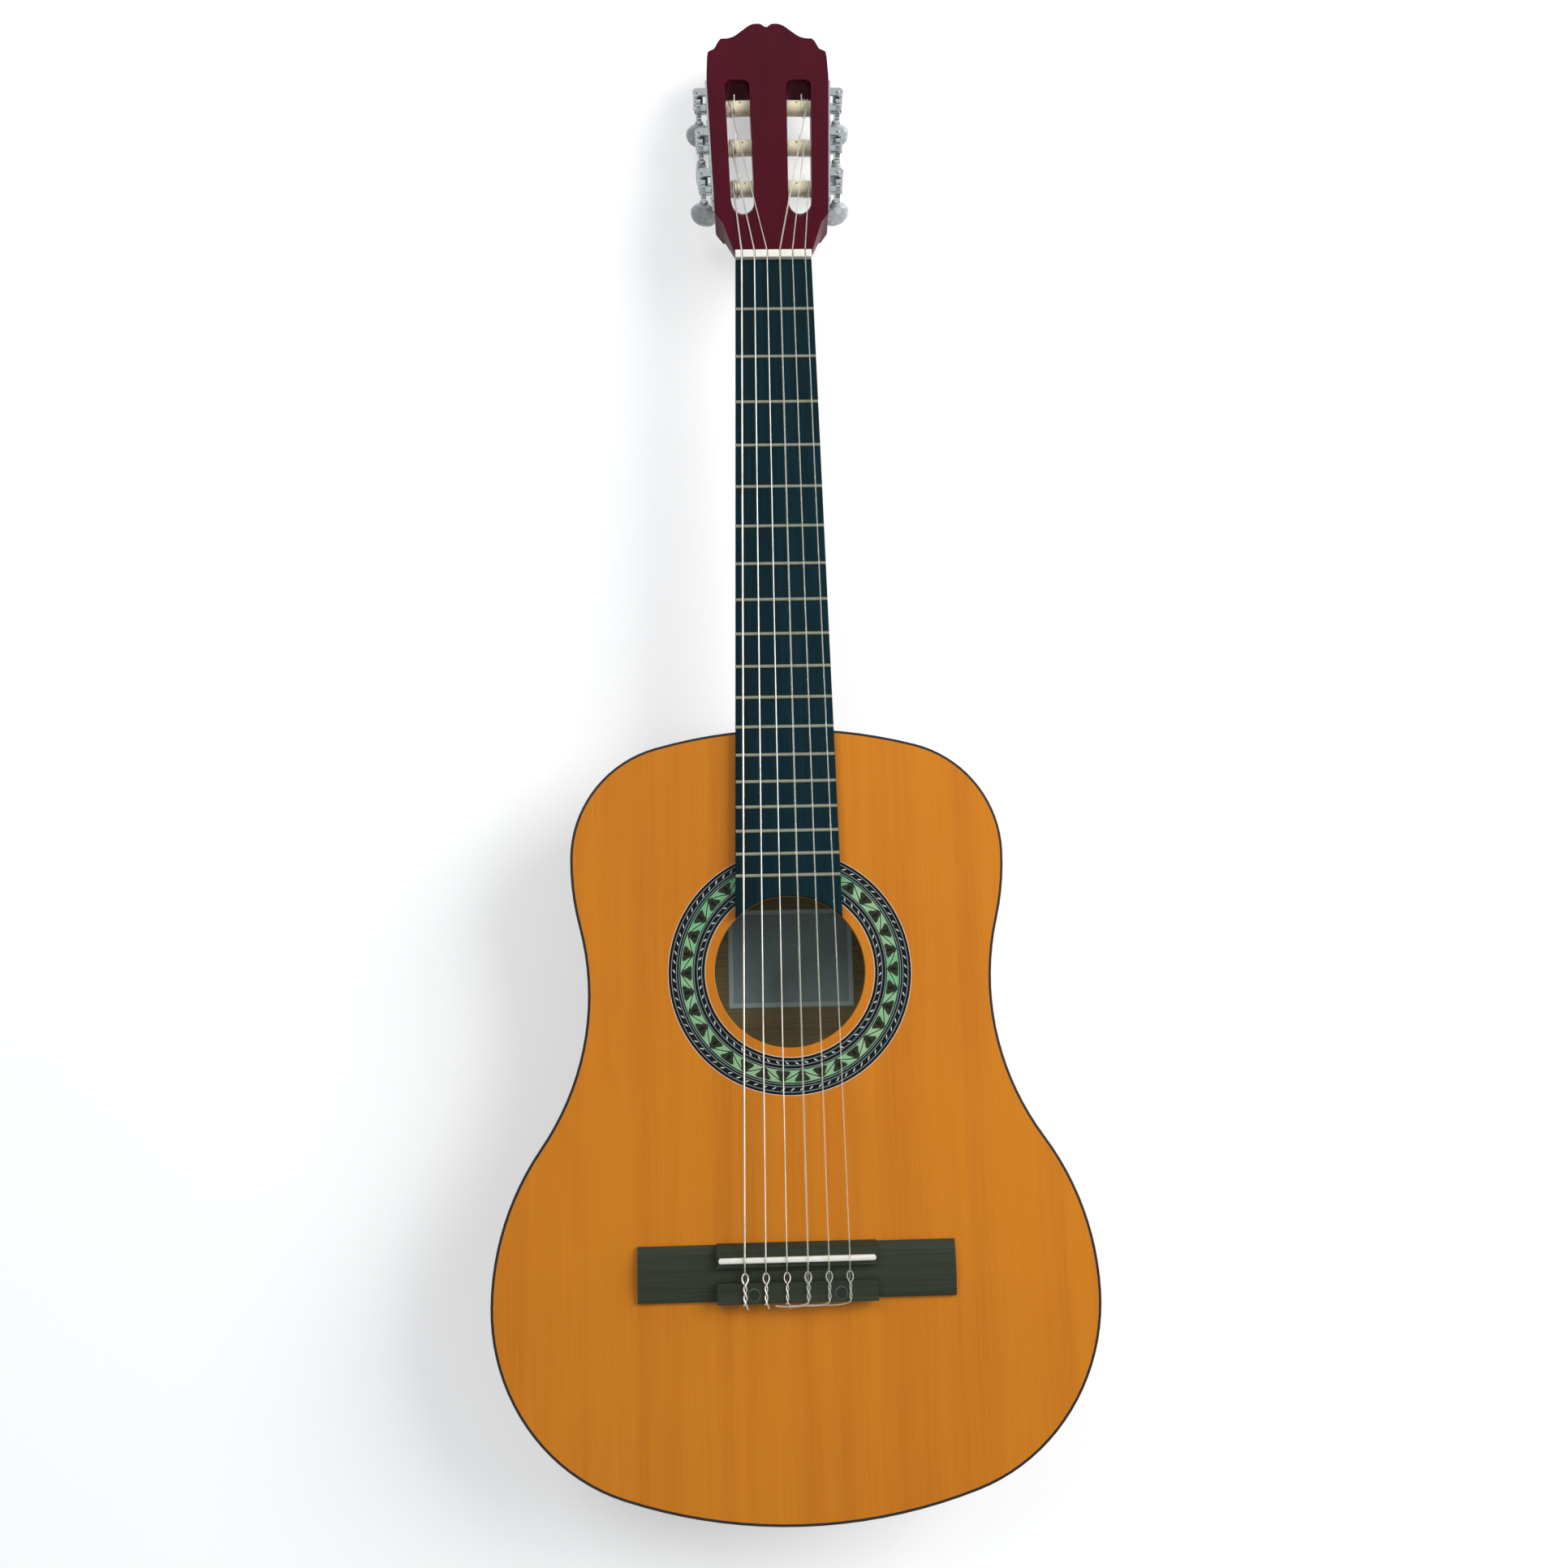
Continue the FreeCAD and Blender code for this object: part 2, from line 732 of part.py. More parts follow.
def side_frame(side):
    """Frame on a side of the head: X along the side to the crest, Y up, Z towards the treble.

    Its origin is on the axis of the first roller, at the surface of the side.
    """
    slope = (side_end_width - knee_width) / 2 / (side_end_place - knee_place)
    half = knee_width / 2 + slope * (first_roller_place - knee_place)
    splay = math.radians(side_splay)
    along = Vector(side * math.sin(splay), math.cos(splay), 0)
    across = Vector(math.cos(splay), -side * math.sin(splay), 0)
    turn = Rotation(along, Vector(0, 0, 1), across, "ZXY")
    seat = Placement(Vector(side * half, first_roller_place, -roller_depth), turn)
    return head_frame.multiply(seat)


def tuner_side(number):
    """Side of a string's tuning machine: the treble strings 1 to 3 use the treble side."""
    return 1 if number <= 3 else -1


def tuner_frame(number):
    """Frame of one tuning machine, with its origin on the roller's axis."""
    place = number - 1 if number <= 3 else 6 - number
    along = Placement(Vector(place * tuner_spacing, 0, 0), Rotation())
    return side_frame(tuner_side(number)).multiply(along)


def outward(shape, side):
    """A shape drawn for the treble side, mirrored in place for the bass side."""
    return shape if side > 0 else shape.mirror(Vector(0, 0, 0), Vector(0, 0, 1))


def roller_bore(number):
    """Bore of a roller through the head's side, across the slot and into the middle."""
    hole = bore(roller_radius + roller_bore_gap, bore_sides, -roller_length - roller_end_gap,
                overrun)
    return placed(outward(hole, tuner_side(number)), tuner_frame(number))


def screw_hole(place):
    """Six-sided pilot hole round the shank of a plate screw, both ways from the side."""
    corner_radius = screw_radius + 2 * seat_gap
    hole = prism(corner_radius, 6, -screw_length, screw_length)
    hole.translate(Vector(place, 0, 0))
    return hole


def make_headstock():
    """Head with its root and the under part of the scarf joint, slotted and bored."""
    plate = head_outline().extrude(Vector(0, 0, -head_thickness))
    root_zone = span_box((-head_root_width, head_root_width), (-overrun, head_root_length),
                         (-head_thickness - overrun, overrun))
    plate = placed(plate.cut(root_zone), head_frame)
    end = neck_section(head_root_width / 2, head_root_wall, head_root_flat_width / 2,
                       head_thickness, corner_bulge_share)
    end = placed(end, head_frame.multiply(Placement(Vector(0, head_root_length, 0), Rotation())))
    root = Part.makeLoft([nut_end_section(), end], True, True)
    head = neck_shaft().common(below_scarf()).fuse(root).fuse(plate)
    tools = slot_tools() + [roller_bore(number) for number in string_diameters]
    for side in (-1, 1):
        tools += [placed(screw_hole(place), side_frame(side)) for place in plate_screw_places]
    return head.cut(Part.Compound(tools)).removeSplitter()


def make_veneer():
    """Thin face of the head, with the same slots."""
    veneer = placed(head_outline().extrude(Vector(0, 0, veneer_thickness)), head_frame)
    behind = span_box((-nut_width, nut_width), (0, nut_outer_y), (-overrun, overrun))
    return veneer.cut(Part.Compound(slot_tools() + [behind]))


def fret_place(number):
    """Distance of a fret from the saddle."""
    return scale_length / 2 ** (number / 12)


def make_fingerboard():
    """Tapered board, cut round at the soundhole and slotted for the frets."""
    end = neck_half_width(soundhole_y)
    points = [Vector(nut_width / 2, scale_length, 0), Vector(-nut_width / 2, scale_length, 0),
              Vector(-end, soundhole_y, 0), Vector(end, soundhole_y, 0)]
    board = Part.Face(Part.makePolygon(points + [points[0]]))
    board = board.extrude(Vector(0, 0, fingerboard_thickness))
    tools = [soundhole_cylinder(soundhole_radius, -overrun, overrun)]
    for number in range(1, fret_count + 1):
        y = fret_place(number)
        half = neck_half_width(y) + overrun
        tools.append(span_box((-half, half), (y - fret_tang_width / 2, y + fret_tang_width / 2),
                              (fingerboard_thickness - fret_tang_depth, overrun)))
    return board.cut(Part.Compound(tools))


def make_frets():
    """Wire frets: an arched crown on the board and a tang in its slot."""
    frets = []
    for number in range(1, fret_count + 1):
        half = neck_half_width(fret_place(number)) - fret_end_setback
        seat = Vector(-half, fret_place(number), fingerboard_thickness)
        crown, tang = fret_crown_width / 2, fret_tang_width / 2
        corners = [Vector(0, y, z) + seat for y, z in (
            (crown, 0), (tang, 0), (tang, -fret_tang_depth), (-tang, -fret_tang_depth),
            (-tang, 0), (-crown, 0))]
        summit = seat + Vector(0, 0, fret_crown_height)
        arch = Part.Arc(corners[-1], summit, corners[0]).toShape()
        section = Part.makePolygon(corners + arch.discretize(Number=crown_points)[1:])
        frets.append(Part.Face(section).extrude(Vector(2 * half, 0, 0)))
    return Part.Compound(frets)


def string_fraction(number):
    """Place of a string across the neck, from -0.5 at string 6 to 0.5 at string 1."""
    return 0.5 - (number - 1) / (len(string_diameters) - 1)


def make_nut():
    """Nut with one notch for each string."""
    blank = span_box((-nut_width / 2, nut_width / 2), (scale_length, nut_outer_y),
                     (0, nut_height))
    tools = []
    for number, diameter in string_diameters.items():
        x = string_fraction(number) * nut_string_span
        half = diameter / 2 + string_rest_gap
        tools.append(span_box((x - half, x + half), (0, nut_outer_y + overrun),
                              (string_height_at_nut, nut_height + overrun)))
    return blank.cut(Part.Compound(tools))


def make_saddle():
    """Rounded bone blade that stands in the bridge's slot."""
    half = saddle_thickness / 2
    length = saddle_length / 2
    points = [Vector(-length, y, z) for y, z in (
        (-half, saddle_bottom), (half, saddle_bottom), (half, saddle_top), (-half, saddle_top))]
    blade = rounded_face(points, [0, 0, saddle_crown_radius, saddle_crown_radius])
    blade = blade.extrude(Vector(saddle_length, 0, 0))
    return blade.common(saddle_plan(0, overrun))


def saddle_plan(gap, high):
    """Saddle's rounded outline from above, with a gap all round."""
    half = saddle_thickness / 2 + gap
    length = saddle_length / 2 + gap
    points = [Vector(length, half, saddle_bottom), Vector(-length, half, saddle_bottom),
              Vector(-length, -half, saddle_bottom), Vector(length, -half, saddle_bottom)]
    radius = half * 2 * slot_end_share
    return rounded_face(points, [radius] * len(points)).extrude(Vector(0, 0, high))


def bolt_bores():
    """Bores of the two bridge bolts and of their flush heads."""
    tools = []
    for side in (-1, 1):
        shank_hole = prism(bolt_radius + 2 * seat_gap, 6, -overrun, tie_block_height)
        recess = bore(plug_radius + seat_gap, bore_sides, tie_block_height - plug_height,
                      tie_block_height + overrun)
        tool = shank_hole.fuse(recess)
        tool.translate(Vector(side * plug_places, -bridge_rear + plug_from_rear, 0))
        tools.append(tool)
    return Part.Compound(tools)


def make_bridge_bolts():
    """Two bolts with flush round heads, each with its nut under the bridge patch."""
    bolts = []
    nut_top = -top_thickness - patch_thickness
    head_bottom = tie_block_height - plug_height
    for side in (-1, 1):
        shank = prism(bolt_radius, 6, nut_top - bolt_below_patch, head_bottom)
        nut = prism(bolt_nut_radius, 6, nut_top - bolt_nut_height, nut_top)
        head = prism(plug_radius, bore_sides, head_bottom, tie_block_height)
        bolt = shank.fuse(nut).fuse(head)
        bolt.translate(Vector(side * plug_places, -bridge_rear + plug_from_rear, 0))
        bolts.append(bolt)
    return Part.Compound(bolts)


def make_bridge():
    """Bridge with saddle slot, trough, bored tie block and two thin wings."""
    half = bridge_centre_width / 2
    corners = [Vector(-half, y, z) for y, z in (
        (bridge_front, 0), (bridge_front, bridge_front_wall),
        (bridge_front - bridge_front_bevel, bridge_height), (-trough_front, bridge_height),
        (-trough_front, trough_height), (-trough_rear, trough_height),
        (-trough_rear, tie_block_height), (-bridge_rear, tie_block_height), (-bridge_rear, 0))]
    centre = Part.Face(Part.makePolygon(corners + [corners[0]]))
    centre = centre.extrude(Vector(bridge_centre_width, 0, 0))
    front, rear = bridge_front - wing_setback, -bridge_rear + wing_setback
    edges = [Vector(-bridge_width / 2, y, z) for y, z in (
        (front, wing_wall), (front, 0), (rear, 0), (rear, wing_wall))]
    runs = [Part.LineSegment(a, b).toShape() for a, b in zip(edges, edges[1:])]
    summit = Vector(-bridge_width / 2, (front + rear) / 2, wing_height)
    runs.append(Part.Arc(edges[-1], summit, edges[0]).toShape())
    wings = Part.Face(Part.Wire(runs)).extrude(Vector(bridge_width, 0, 0))
    bridge = centre.fuse(wings).removeSplitter()
    bridge = bridge.cut(saddle_plan(saddle_slot_gap, overrun)).cut(bolt_bores())
    tools = []
    for number in string_diameters:
        x = string_fraction(number) * saddle_string_span
        hole = bore(tie_hole_radius, tie_hole_sides, trough_rear - overrun,
                    bridge_rear + overrun)
        turn = Placement(Vector(x, 0, tie_hole_height), Rotation(Vector(1, 0, 0), 90))
        hole = placed(hole, turn)
        tools.append(hole.common(span_box((-half, half), (-bridge_rear - overrun, -trough_front),
                                          (0, tie_block_height))))
    return bridge.cut(Part.Compound(tools))


def winding_stations(number, incoming):
    """Points and directions of a winding in its tuner's frame, from the landing inwards.

    The string comes from the nut, at the point incoming, and lands on top of the roller.
    """
    side = tuner_side(number)
    diameter = string_diameters[number]
    radius = roller_radius + winding_seat_gap + diameter / 2
    slot_wall = slot_wall_depth(number)
    landing = -side * (slot_wall + landing_insets[number])
    start = math.atan2(incoming.y, incoming.x) - math.acos(
        radius / math.hypot(incoming.x, incoming.y))
    rate = -side * (diameter + winding_gap) / (2 * math.pi)
    stations = []
    for half_turn in range(2 * winding_turns + 1):
        turned = half_turn * math.pi
        angle = start - turned
        point = Vector(radius * math.cos(angle), radius * math.sin(angle), landing + rate * turned)
        direction = Vector(radius * math.sin(angle), -radius * math.cos(angle), rate)
        stations.append((point, direction.normalize()))
    straight = (stations[0][0] - incoming).normalize()
    stations[0] = (stations[0][0], straight)
    return stations


def slot_wall_depth(number):
    """Distance from the head's side in to the slot, along a roller."""
    place = number - 1 if number <= 3 else 6 - number
    along = first_roller_place + place * tuner_spacing
    share = (along - slot_bottom) / (slot_top - slot_bottom)
    slot_outer = slot_outer_at_bottom + share * (slot_outer_at_top - slot_outer_at_bottom)
    slope = (side_end_width - knee_width) / 2 / (side_end_place - knee_place)
    return knee_width / 2 + slope * (along - knee_place) - slot_outer


def biarc(start, start_way, end, end_way):
    """Two tangent arcs between two points with given directions."""
    chord = end - start
    both = chord.dot(start_way + end_way)
    bend = 2 * (1 - start_way.dot(end_way))
    leg = (-both + math.sqrt(both ** 2 + bend * chord.dot(chord))) / bend
    first, second = start + start_way * leg, end - end_way * leg
    joint = (first + second) * 0.5
    return [tangent_arc(start, first, joint), tangent_arc(joint, second, end)]


def string_route(number):
    """Edges of a string: tied over the tie block, over saddle and nut, and onto its roller."""
    radius = string_diameters[number] / 2
    lift = radius + string_rest_gap
    saddle_x = string_fraction(number) * saddle_string_span
    nut_x = string_fraction(number) * nut_string_span
    over_block = tie_block_height + lift
    behind = -bridge_rear - lift
    nut_exit = Vector(nut_x, nut_outer_y, string_height_at_nut + lift)
    frame = tuner_frame(number)
    stations = winding_stations(number, frame.inverse().multVec(nut_exit))
    points = [Vector(saddle_x, -trough_rear + tie_reach, over_block),
              Vector(saddle_x, behind, over_block),
              Vector(saddle_x, behind, tie_hole_height),
              Vector(saddle_x, -trough_rear + tie_reach, tie_hole_height),
              Vector(saddle_x, -saddle_thickness / 4, saddle_top + lift + string_rest_gap),
              nut_exit,
              frame.multVec(stations[0][0])]
    radii = [0, tie_bend_radius, tie_bend_radius, hole_bend_radius, saddle_bend_radius,
             nut_bend_radius, 0]
    edges = rounded_run(points, radii, False)
    winding = []
    for (start, start_way), (end, end_way) in zip(stations, stations[1:]):
        winding += biarc(start, start_way, end, end_way)
    last, last_way = stations[-1]
    winding.append(Part.LineSegment(last, last + last_way * string_tail).toShape())
    winding = [placed(edge, frame) for edge in winding]
    return edges, winding


def least_gap(edges, diameter):
    """Least clear distance between turns of a wound string, measured on points."""
    points = []
    for edge in edges:
        points += edge.discretize(Number=gap_steps)[:-1]
    travelled = [0]
    for before, after in zip(points, points[1:]):
        travelled.append(travelled[-1] + before.distanceToPoint(after))
    gaps = [first.distanceToPoint(points[j]) - diameter
            for i, first in enumerate(points) for j in range(i + 1, len(points))
            if travelled[j] - travelled[i] > gap_skip_diameters * diameter]
    return min(gaps)


def make_string(number):
    """One string as an unbroken four-sided tube along its whole route."""
    diameter = string_diameters[number]
    edges, winding = string_route(number)
    start = edges[0].Vertexes[0].Point
    way = (edges[0].Vertexes[-1].Point - start).normalize()
    corner = Vector(0, 0, diameter / 2)
    corners = [start + Rotation(way, 360 / tube_sides * step).multVec(corner)
               for step in range(tube_sides)]
    profile = Part.makePolygon(corners + [corners[0]])
    path = Part.Wire(edges + winding)
    tube = path.makePipeShell([profile], True, False)
    section = Part.Face(profile).Area
    run_in = Part.LineSegment(*[edges[-1].valueAt(value) for value in (
        edges[-1].LastParameter - gap_skip_diameters, edges[-1].LastParameter)]).toShape()
    print("string", number, "length", round(path.Length, 1),
          "volume over section times length", round(tube.Volume / (section * path.Length), 4),
          "least gap", round(least_gap([run_in] + winding, diameter), 2))
    return tube


def make_roller(number):
    """String roller with a round neck through the plate and a square end for the gear."""
    neck_end = plate_thickness + hub_gap
    body = prism(roller_radius, bore_sides, -roller_length, -roller_end_gap)
    body = body.fuse(cylinder(spigot_radius, -roller_end_gap, neck_end))
    body = body.fuse(prism(spigot_radius, 4, neck_end, worm_offset + gear_width / 2))
    return placed(outward(body, tuner_side(number)), tuner_frame(number))


def gear_outline(height):
    """Outline of the gear's teeth, with the gap between two of them at angle zero."""
    root = gear_pitch_radius - tooth_dedendum
    tip = gear_pitch_radius + tooth_addendum
    lean = math.tan(math.radians(flank_angle))
    half = worm_pitch * gear_tooth_share / 2
    root_half = (half + tooth_dedendum * lean) / root
    tip_half = (half - tooth_addendum * lean) / tip
    points = []
    for tooth in range(gear_teeth):
        middle = (tooth + 0.5) * 2 * math.pi / gear_teeth
        for radius, shift in ((root, -root_half), (tip, -tip_half), (tip, tip_half),
                              (root, root_half)):
            points.append(Vector(radius * math.cos(middle + shift),
                                 radius * math.sin(middle + shift), height))
    return Part.makePolygon(points + [points[0]])


def make_gear(number):
    """Gear with its hub and square bore, and the screw that holds it on the roller."""
    inner, outer = worm_offset - gear_width / 2, worm_offset + gear_width / 2
    teeth = Part.Face(gear_outline(inner)).extrude(Vector(0, 0, gear_width))
    gear = teeth.fuse(prism(hub_radius, hub_sides, plate_thickness + hub_gap, inner))
    gear = gear.cut(prism(spigot_radius + 2 * seat_gap, 4, 0, overrun))
    screw = prism(gear_screw_radius, hub_sides, outer, outer + gear_screw_height)
    gear = outward(Part.Compound([gear, screw]), tuner_side(number))
    return placed(gear, tuner_frame(number))


def worm_frame(number):
    """Frame of a worm: Z along its axis, out of the head's face, X away from its gear."""
    seat = Placement(Vector(axis_distance, 0, tuner_side(number) * worm_offset),
                     Rotation(Vector(1, 0, 0), -90))
    return tuner_frame(number).multiply(seat)


def triangle(first, second, third):
    """Plane three-cornered face."""
    return Part.Face(Part.makePolygon([first, second, third, first]))


def worm_thread():
    """Screw thread of the worm, drawn so that it enters the gap of the gear."""
    lean = math.tan(math.radians(flank_angle))
    half = worm_pitch * worm_tooth_share / 2
    low = worm_root_radius - thread_root_sink
    low_half = half + (worm_pitch_radius - low) * lean
    high_half = half - tooth_addendum * lean
    sections = []
    for step in range(int(thread_turns * thread_steps) + 1):
        turn = step / thread_steps
        middle = (turn - thread_turns / 2) * worm_pitch
        spin = Rotation(Vector(0, 0, 1), 360 * turn + 180 * (1 - thread_turns))
        sections.append([spin.multVec(Vector(radius, 0, middle + shift)) for radius, shift in (
            (low, -low_half), (worm_outer_radius, -high_half), (worm_outer_radius, high_half),
            (low, low_half))])
    faces = [Part.Face(Part.makePolygon(end + [end[0]])) for end in (sections[0], sections[-1])]
    for here, there in zip(sections, sections[1:]):
        for corner in range(len(here)):
            after = (corner + 1) % len(here)
            faces.append(triangle(here[corner], here[after], there[after]))
            faces.append(triangle(here[corner], there[after], there[corner]))
    shell = Part.makeShell(faces)
    shell.sewShape()
    solid = Part.Solid(shell)
    return solid if solid.Volume > 0 else solid.reversed()


def make_worm(number):
    """Worm with its thread, a pivot at the top and the stem that reaches into the button."""
    body = lug_gap / 2 - lug_play
    lug_end = lug_gap / 2 + lug_thickness
    collar = -lug_end - lug_play
    button_top = -button_depth + button_height / 2
    stem_end = button_top - button_bore_depth + seat_gap
    shaft = prism(worm_root_radius, thread_steps, -body, body).fuse([
        cylinder(top_pivot_radius, body, lug_end + top_pivot_stand),
        prism(stem_radius, hub_sides, button_top, -body),
        prism(collar_radius, hub_sides, collar - collar_height, collar),
        prism(stem_radius, 4, stem_end, button_top),
        worm_thread()])
    return placed(shaft.removeSplitter(), worm_frame(number))


def mirrored_slab(half, reach):
    """Slab about the XZ plane from the outline of the side where X is positive."""
    corners = half + [Vector(-p.x, p.y, p.z) for p in reversed(half)]
    face = Part.Face(Part.makePolygon(corners + [corners[0]]))
    face.translate(Vector(0, -reach, 0))
    return face.extrude(Vector(0, 2 * reach, 0))


def make_button(number):
    """Flat facetted button with the square bore that holds the stem."""
    top = -button_depth + button_height / 2
    wide, thin = button_width / 2, button_thickness / 2
    front = [Vector(width_share * wide, 0, top - level_share * button_height)
             for level_share, width_share, thin_share in button_shares]
    edge = [Vector(thin_share * thin, 0, top - level_share * button_height)
            for level_share, width_share, thin_share in button_shares]
    across = mirrored_slab(edge, button_width)
    across.rotate(Vector(0, 0, 0), Vector(0, 0, 1), 90)
    step = thin * button_edge_share
    plan = [Vector(wide, step - thin, 0), Vector(wide, thin - step, 0),
            Vector(wide - step, thin, 0)]
    plan += [Vector(-x, y, 0) for x, y in ((wide - step, thin), (wide, thin - step),
                                           (wide, step - thin), (wide - step, -thin))]
    plan.append(Vector(wide - step, -thin, 0))
    plan = Part.Face(Part.makePolygon(plan + [plan[0]]))
    plan.translate(Vector(0, 0, top - button_height))
    button = mirrored_slab(front, button_thickness).common(across)
    button = button.common(plan.extrude(Vector(0, 0, button_height)))
    button.rotate(Vector(0, 0, 0), Vector(0, 0, 1), button_turns[number])
    bore = prism(stem_radius + 2 * seat_gap, 4, top - button_bore_depth, top + overrun)
    return placed(button.cut(bore), worm_frame(number))


def plate_lug(place, low):
    """One ear bent up from a plate, with its top corners cut."""
    step = lug_radius * lug_corner_share
    points = [Vector(place + x, low, z) for x, z in (
        (lug_radius, 0), (lug_radius, worm_offset + step), (step, worm_offset + lug_radius),
        (-step, worm_offset + lug_radius), (-lug_radius, worm_offset + step), (-lug_radius, 0))]
    face = Part.Face(Part.makePolygon(points + [points[0]]))
    return face.extrude(Vector(0, lug_thickness, 0))


def plate_end():
    """Place of a plate's far end along the side of the head."""
    return 2 * tuner_spacing + axis_distance + plate_overhang


def make_tuner_plate(side):
    """Metal plate on the head's side, with the bearing ears of three worms."""
    half = plate_width / 2
    points = [Vector(-plate_overhang, -half, 0), Vector(plate_end(), -half, 0),
              Vector(plate_end(), half, 0), Vector(-plate_overhang, half, 0)]
    plate = rounded_face(points, [plate_corner_radius] * len(points))
    plate = plate.extrude(Vector(0, 0, plate_thickness))
    tools = []
    for step in range(3):
        place = step * tuner_spacing
        axis = place + axis_distance
        for low in (-lug_gap / 2 - lug_thickness, lug_gap / 2):
            plate = plate.fuse(plate_lug(axis, low))
        spigot_hole = bore(spigot_radius + pivot_gap, hub_sides, -overrun, overrun)
        spigot_hole.translate(Vector(place, 0, 0))
        turn = Rotation(Vector(1, 0, 0), -90)
        stem_hole = placed(bore(stem_radius + pivot_gap, hub_sides, -overrun, 0),
                           Placement(Vector(axis, 0, worm_offset), turn))
        pivot_hole = placed(bore(top_pivot_radius + pivot_gap, hub_sides, 0, overrun),
                            Placement(Vector(axis, 0, worm_offset), turn))
        tools += [spigot_hole, stem_hole, pivot_hole]
    tools += [screw_hole(place) for place in plate_screw_places]
    plate = plate.cut(Part.Compound(tools)).removeSplitter()
    return placed(outward(plate, side), side_frame(side))


def make_plate_screws():
    """The screws of both plates."""
    screws = []
    for side in (-1, 1):
        for place in plate_screw_places:
            screw = prism(screw_radius, 6, seat_gap - screw_length, plate_thickness)
            head = prism(screw_head_radius, hub_sides, plate_thickness,
                         plate_thickness + screw_head_height)
            screw = screw.fuse(head)
            screw.translate(Vector(place, 0, 0))
            screws.append(placed(outward(screw, side), side_frame(side)))
    return Part.Compound(screws)


def body_pieces():
    """All pieces of the body, by name."""
    bindings = make_bindings()
    bass_side, treble_side = make_sides()
    neck_block, tail_block = make_blocks()
    top_linings, back_linings = make_linings()
    return {
        "top_plate": make_top_plate(), "back_plate": make_back_plate(),
        "bass_side": bass_side, "treble_side": treble_side,
        "top_binding": bindings[0], "back_binding": bindings[1],
        "neck_block": neck_block, "tail_block": tail_block,
        "top_linings": top_linings, "back_linings": back_linings,
        "top_cross_braces": make_top_cross_braces(), "fan_braces": make_fan_braces(),
        "back_braces": make_back_braces(), "bridge_patch": patch_space().cut(bolt_bores()),
        "soundhole_reinforcement": make_soundhole_reinforcement(),
        "rosette": make_rosette(), "maker_label": make_label(),
    }


def neck_and_bridge_pieces():
    """All pieces of the neck, the head and the bridge, by name."""
    return {
        "neck": make_neck(), "headstock": make_headstock(), "head_veneer": make_veneer(),
        "fingerboard": make_fingerboard(), "frets": make_frets(), "nut": make_nut(),
        "bridge": make_bridge(), "saddle": make_saddle(), "bridge_bolts": make_bridge_bolts(),
    }


def tuner_and_string_pieces():
    """All pieces of the two tuning machines, and the strings, by name."""
    pieces = {"bass_tuner_plate": make_tuner_plate(-1), "treble_tuner_plate": make_tuner_plate(1),
              "tuner_plate_screws": make_plate_screws()}
    for number in string_diameters:
        pieces["string_%d" % number] = make_string(number)
        pieces["roller_%d" % number] = make_roller(number)
        pieces["gear_%d" % number] = make_gear(number)
        pieces["worm_%d" % number] = make_worm(number)
        pieces["button_%d" % number] = make_button(number)
    return pieces


def save(name, shape):
    """Write one piece, turned so that the instrument lies on its back."""
    placed(shape, rest_frame).exportStep("parts/%s.step" % name)


os.makedirs("parts", exist_ok=True)
for group in (body_pieces, neck_and_bridge_pieces, tuner_and_string_pieces):
    for piece_name, piece_shape in group().items():
        save(piece_name, piece_shape)
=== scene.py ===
"""Looks of a three-quarter size classical guitar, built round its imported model.

Lengths are in metres where they carry MM or stand in world coordinates, and in millimetres in
profiles, routes and inlays. The instrument lies on its back, with its head towards +Y and its
treble side towards +X. Shapes that follow the soundboard are placed by SOUNDBOARD, those of the
head by HEAD, because the top rises a little against the back and the head leans back.
"""

import logging
import math
from dataclasses import dataclass
from enum import Enum
from functools import partial, partialmethod
from typing import Any, Callable, Iterable, Sequence

import bmesh
import bpy
from mathutils import Matrix, Vector


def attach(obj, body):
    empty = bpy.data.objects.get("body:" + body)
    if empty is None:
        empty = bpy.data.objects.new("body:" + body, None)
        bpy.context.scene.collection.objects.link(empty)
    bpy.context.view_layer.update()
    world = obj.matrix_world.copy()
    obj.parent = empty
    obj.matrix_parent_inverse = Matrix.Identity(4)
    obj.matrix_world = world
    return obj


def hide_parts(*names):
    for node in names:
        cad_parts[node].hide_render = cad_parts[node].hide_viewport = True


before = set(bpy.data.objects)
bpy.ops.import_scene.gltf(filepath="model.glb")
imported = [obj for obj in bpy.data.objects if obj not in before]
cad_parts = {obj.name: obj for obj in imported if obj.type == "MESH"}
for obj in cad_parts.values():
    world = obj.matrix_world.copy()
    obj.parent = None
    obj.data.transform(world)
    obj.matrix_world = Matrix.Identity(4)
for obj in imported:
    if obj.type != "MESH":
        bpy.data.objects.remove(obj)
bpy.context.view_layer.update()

LOG = logging.getLogger("guitar")
MM = 0.001
DEPTH_GAIN = 4 * MM
BODY_LENGTH = 432 * MM
BACK_SLOPE = math.atan(DEPTH_GAIN / BODY_LENGTH)
DEPTH_AT_SADDLE = 86.731 * MM
SOUNDBOARD = Matrix.Rotation(-BACK_SLOPE, 4, "X") @ Matrix.Translation((0, 0, DEPTH_AT_SADDLE))
SOUNDHOLE = SOUNDBOARD @ Vector((0, 154.7 * MM, 0))
BOLTS = [Vector((x * MM, -17.8 * MM, 0)) for x in (-23.5, 23.5)]
NUT_OUTER_Y = 595.0 * MM
HEAD_ANGLE = math.radians(12.0)
HEAD = (SOUNDBOARD @ Matrix.Translation((0, NUT_OUTER_Y, 0))
        @ Matrix.Rotation(-HEAD_ANGLE, 4, "X"))
FIXED = "guitar"
PER_SIDE = 3
STRINGS = 2 * PER_SIDE

Colour = tuple[float, float, float, float]
Profile = Sequence[tuple[float, float]]


class Grain(Enum):
    """Directions that the grain of a wood runs in, as numbers of the axes."""

    ACROSS = (0,)
    ALONG = (1,)
    ROUND_THE_SIDES = (0, 1)


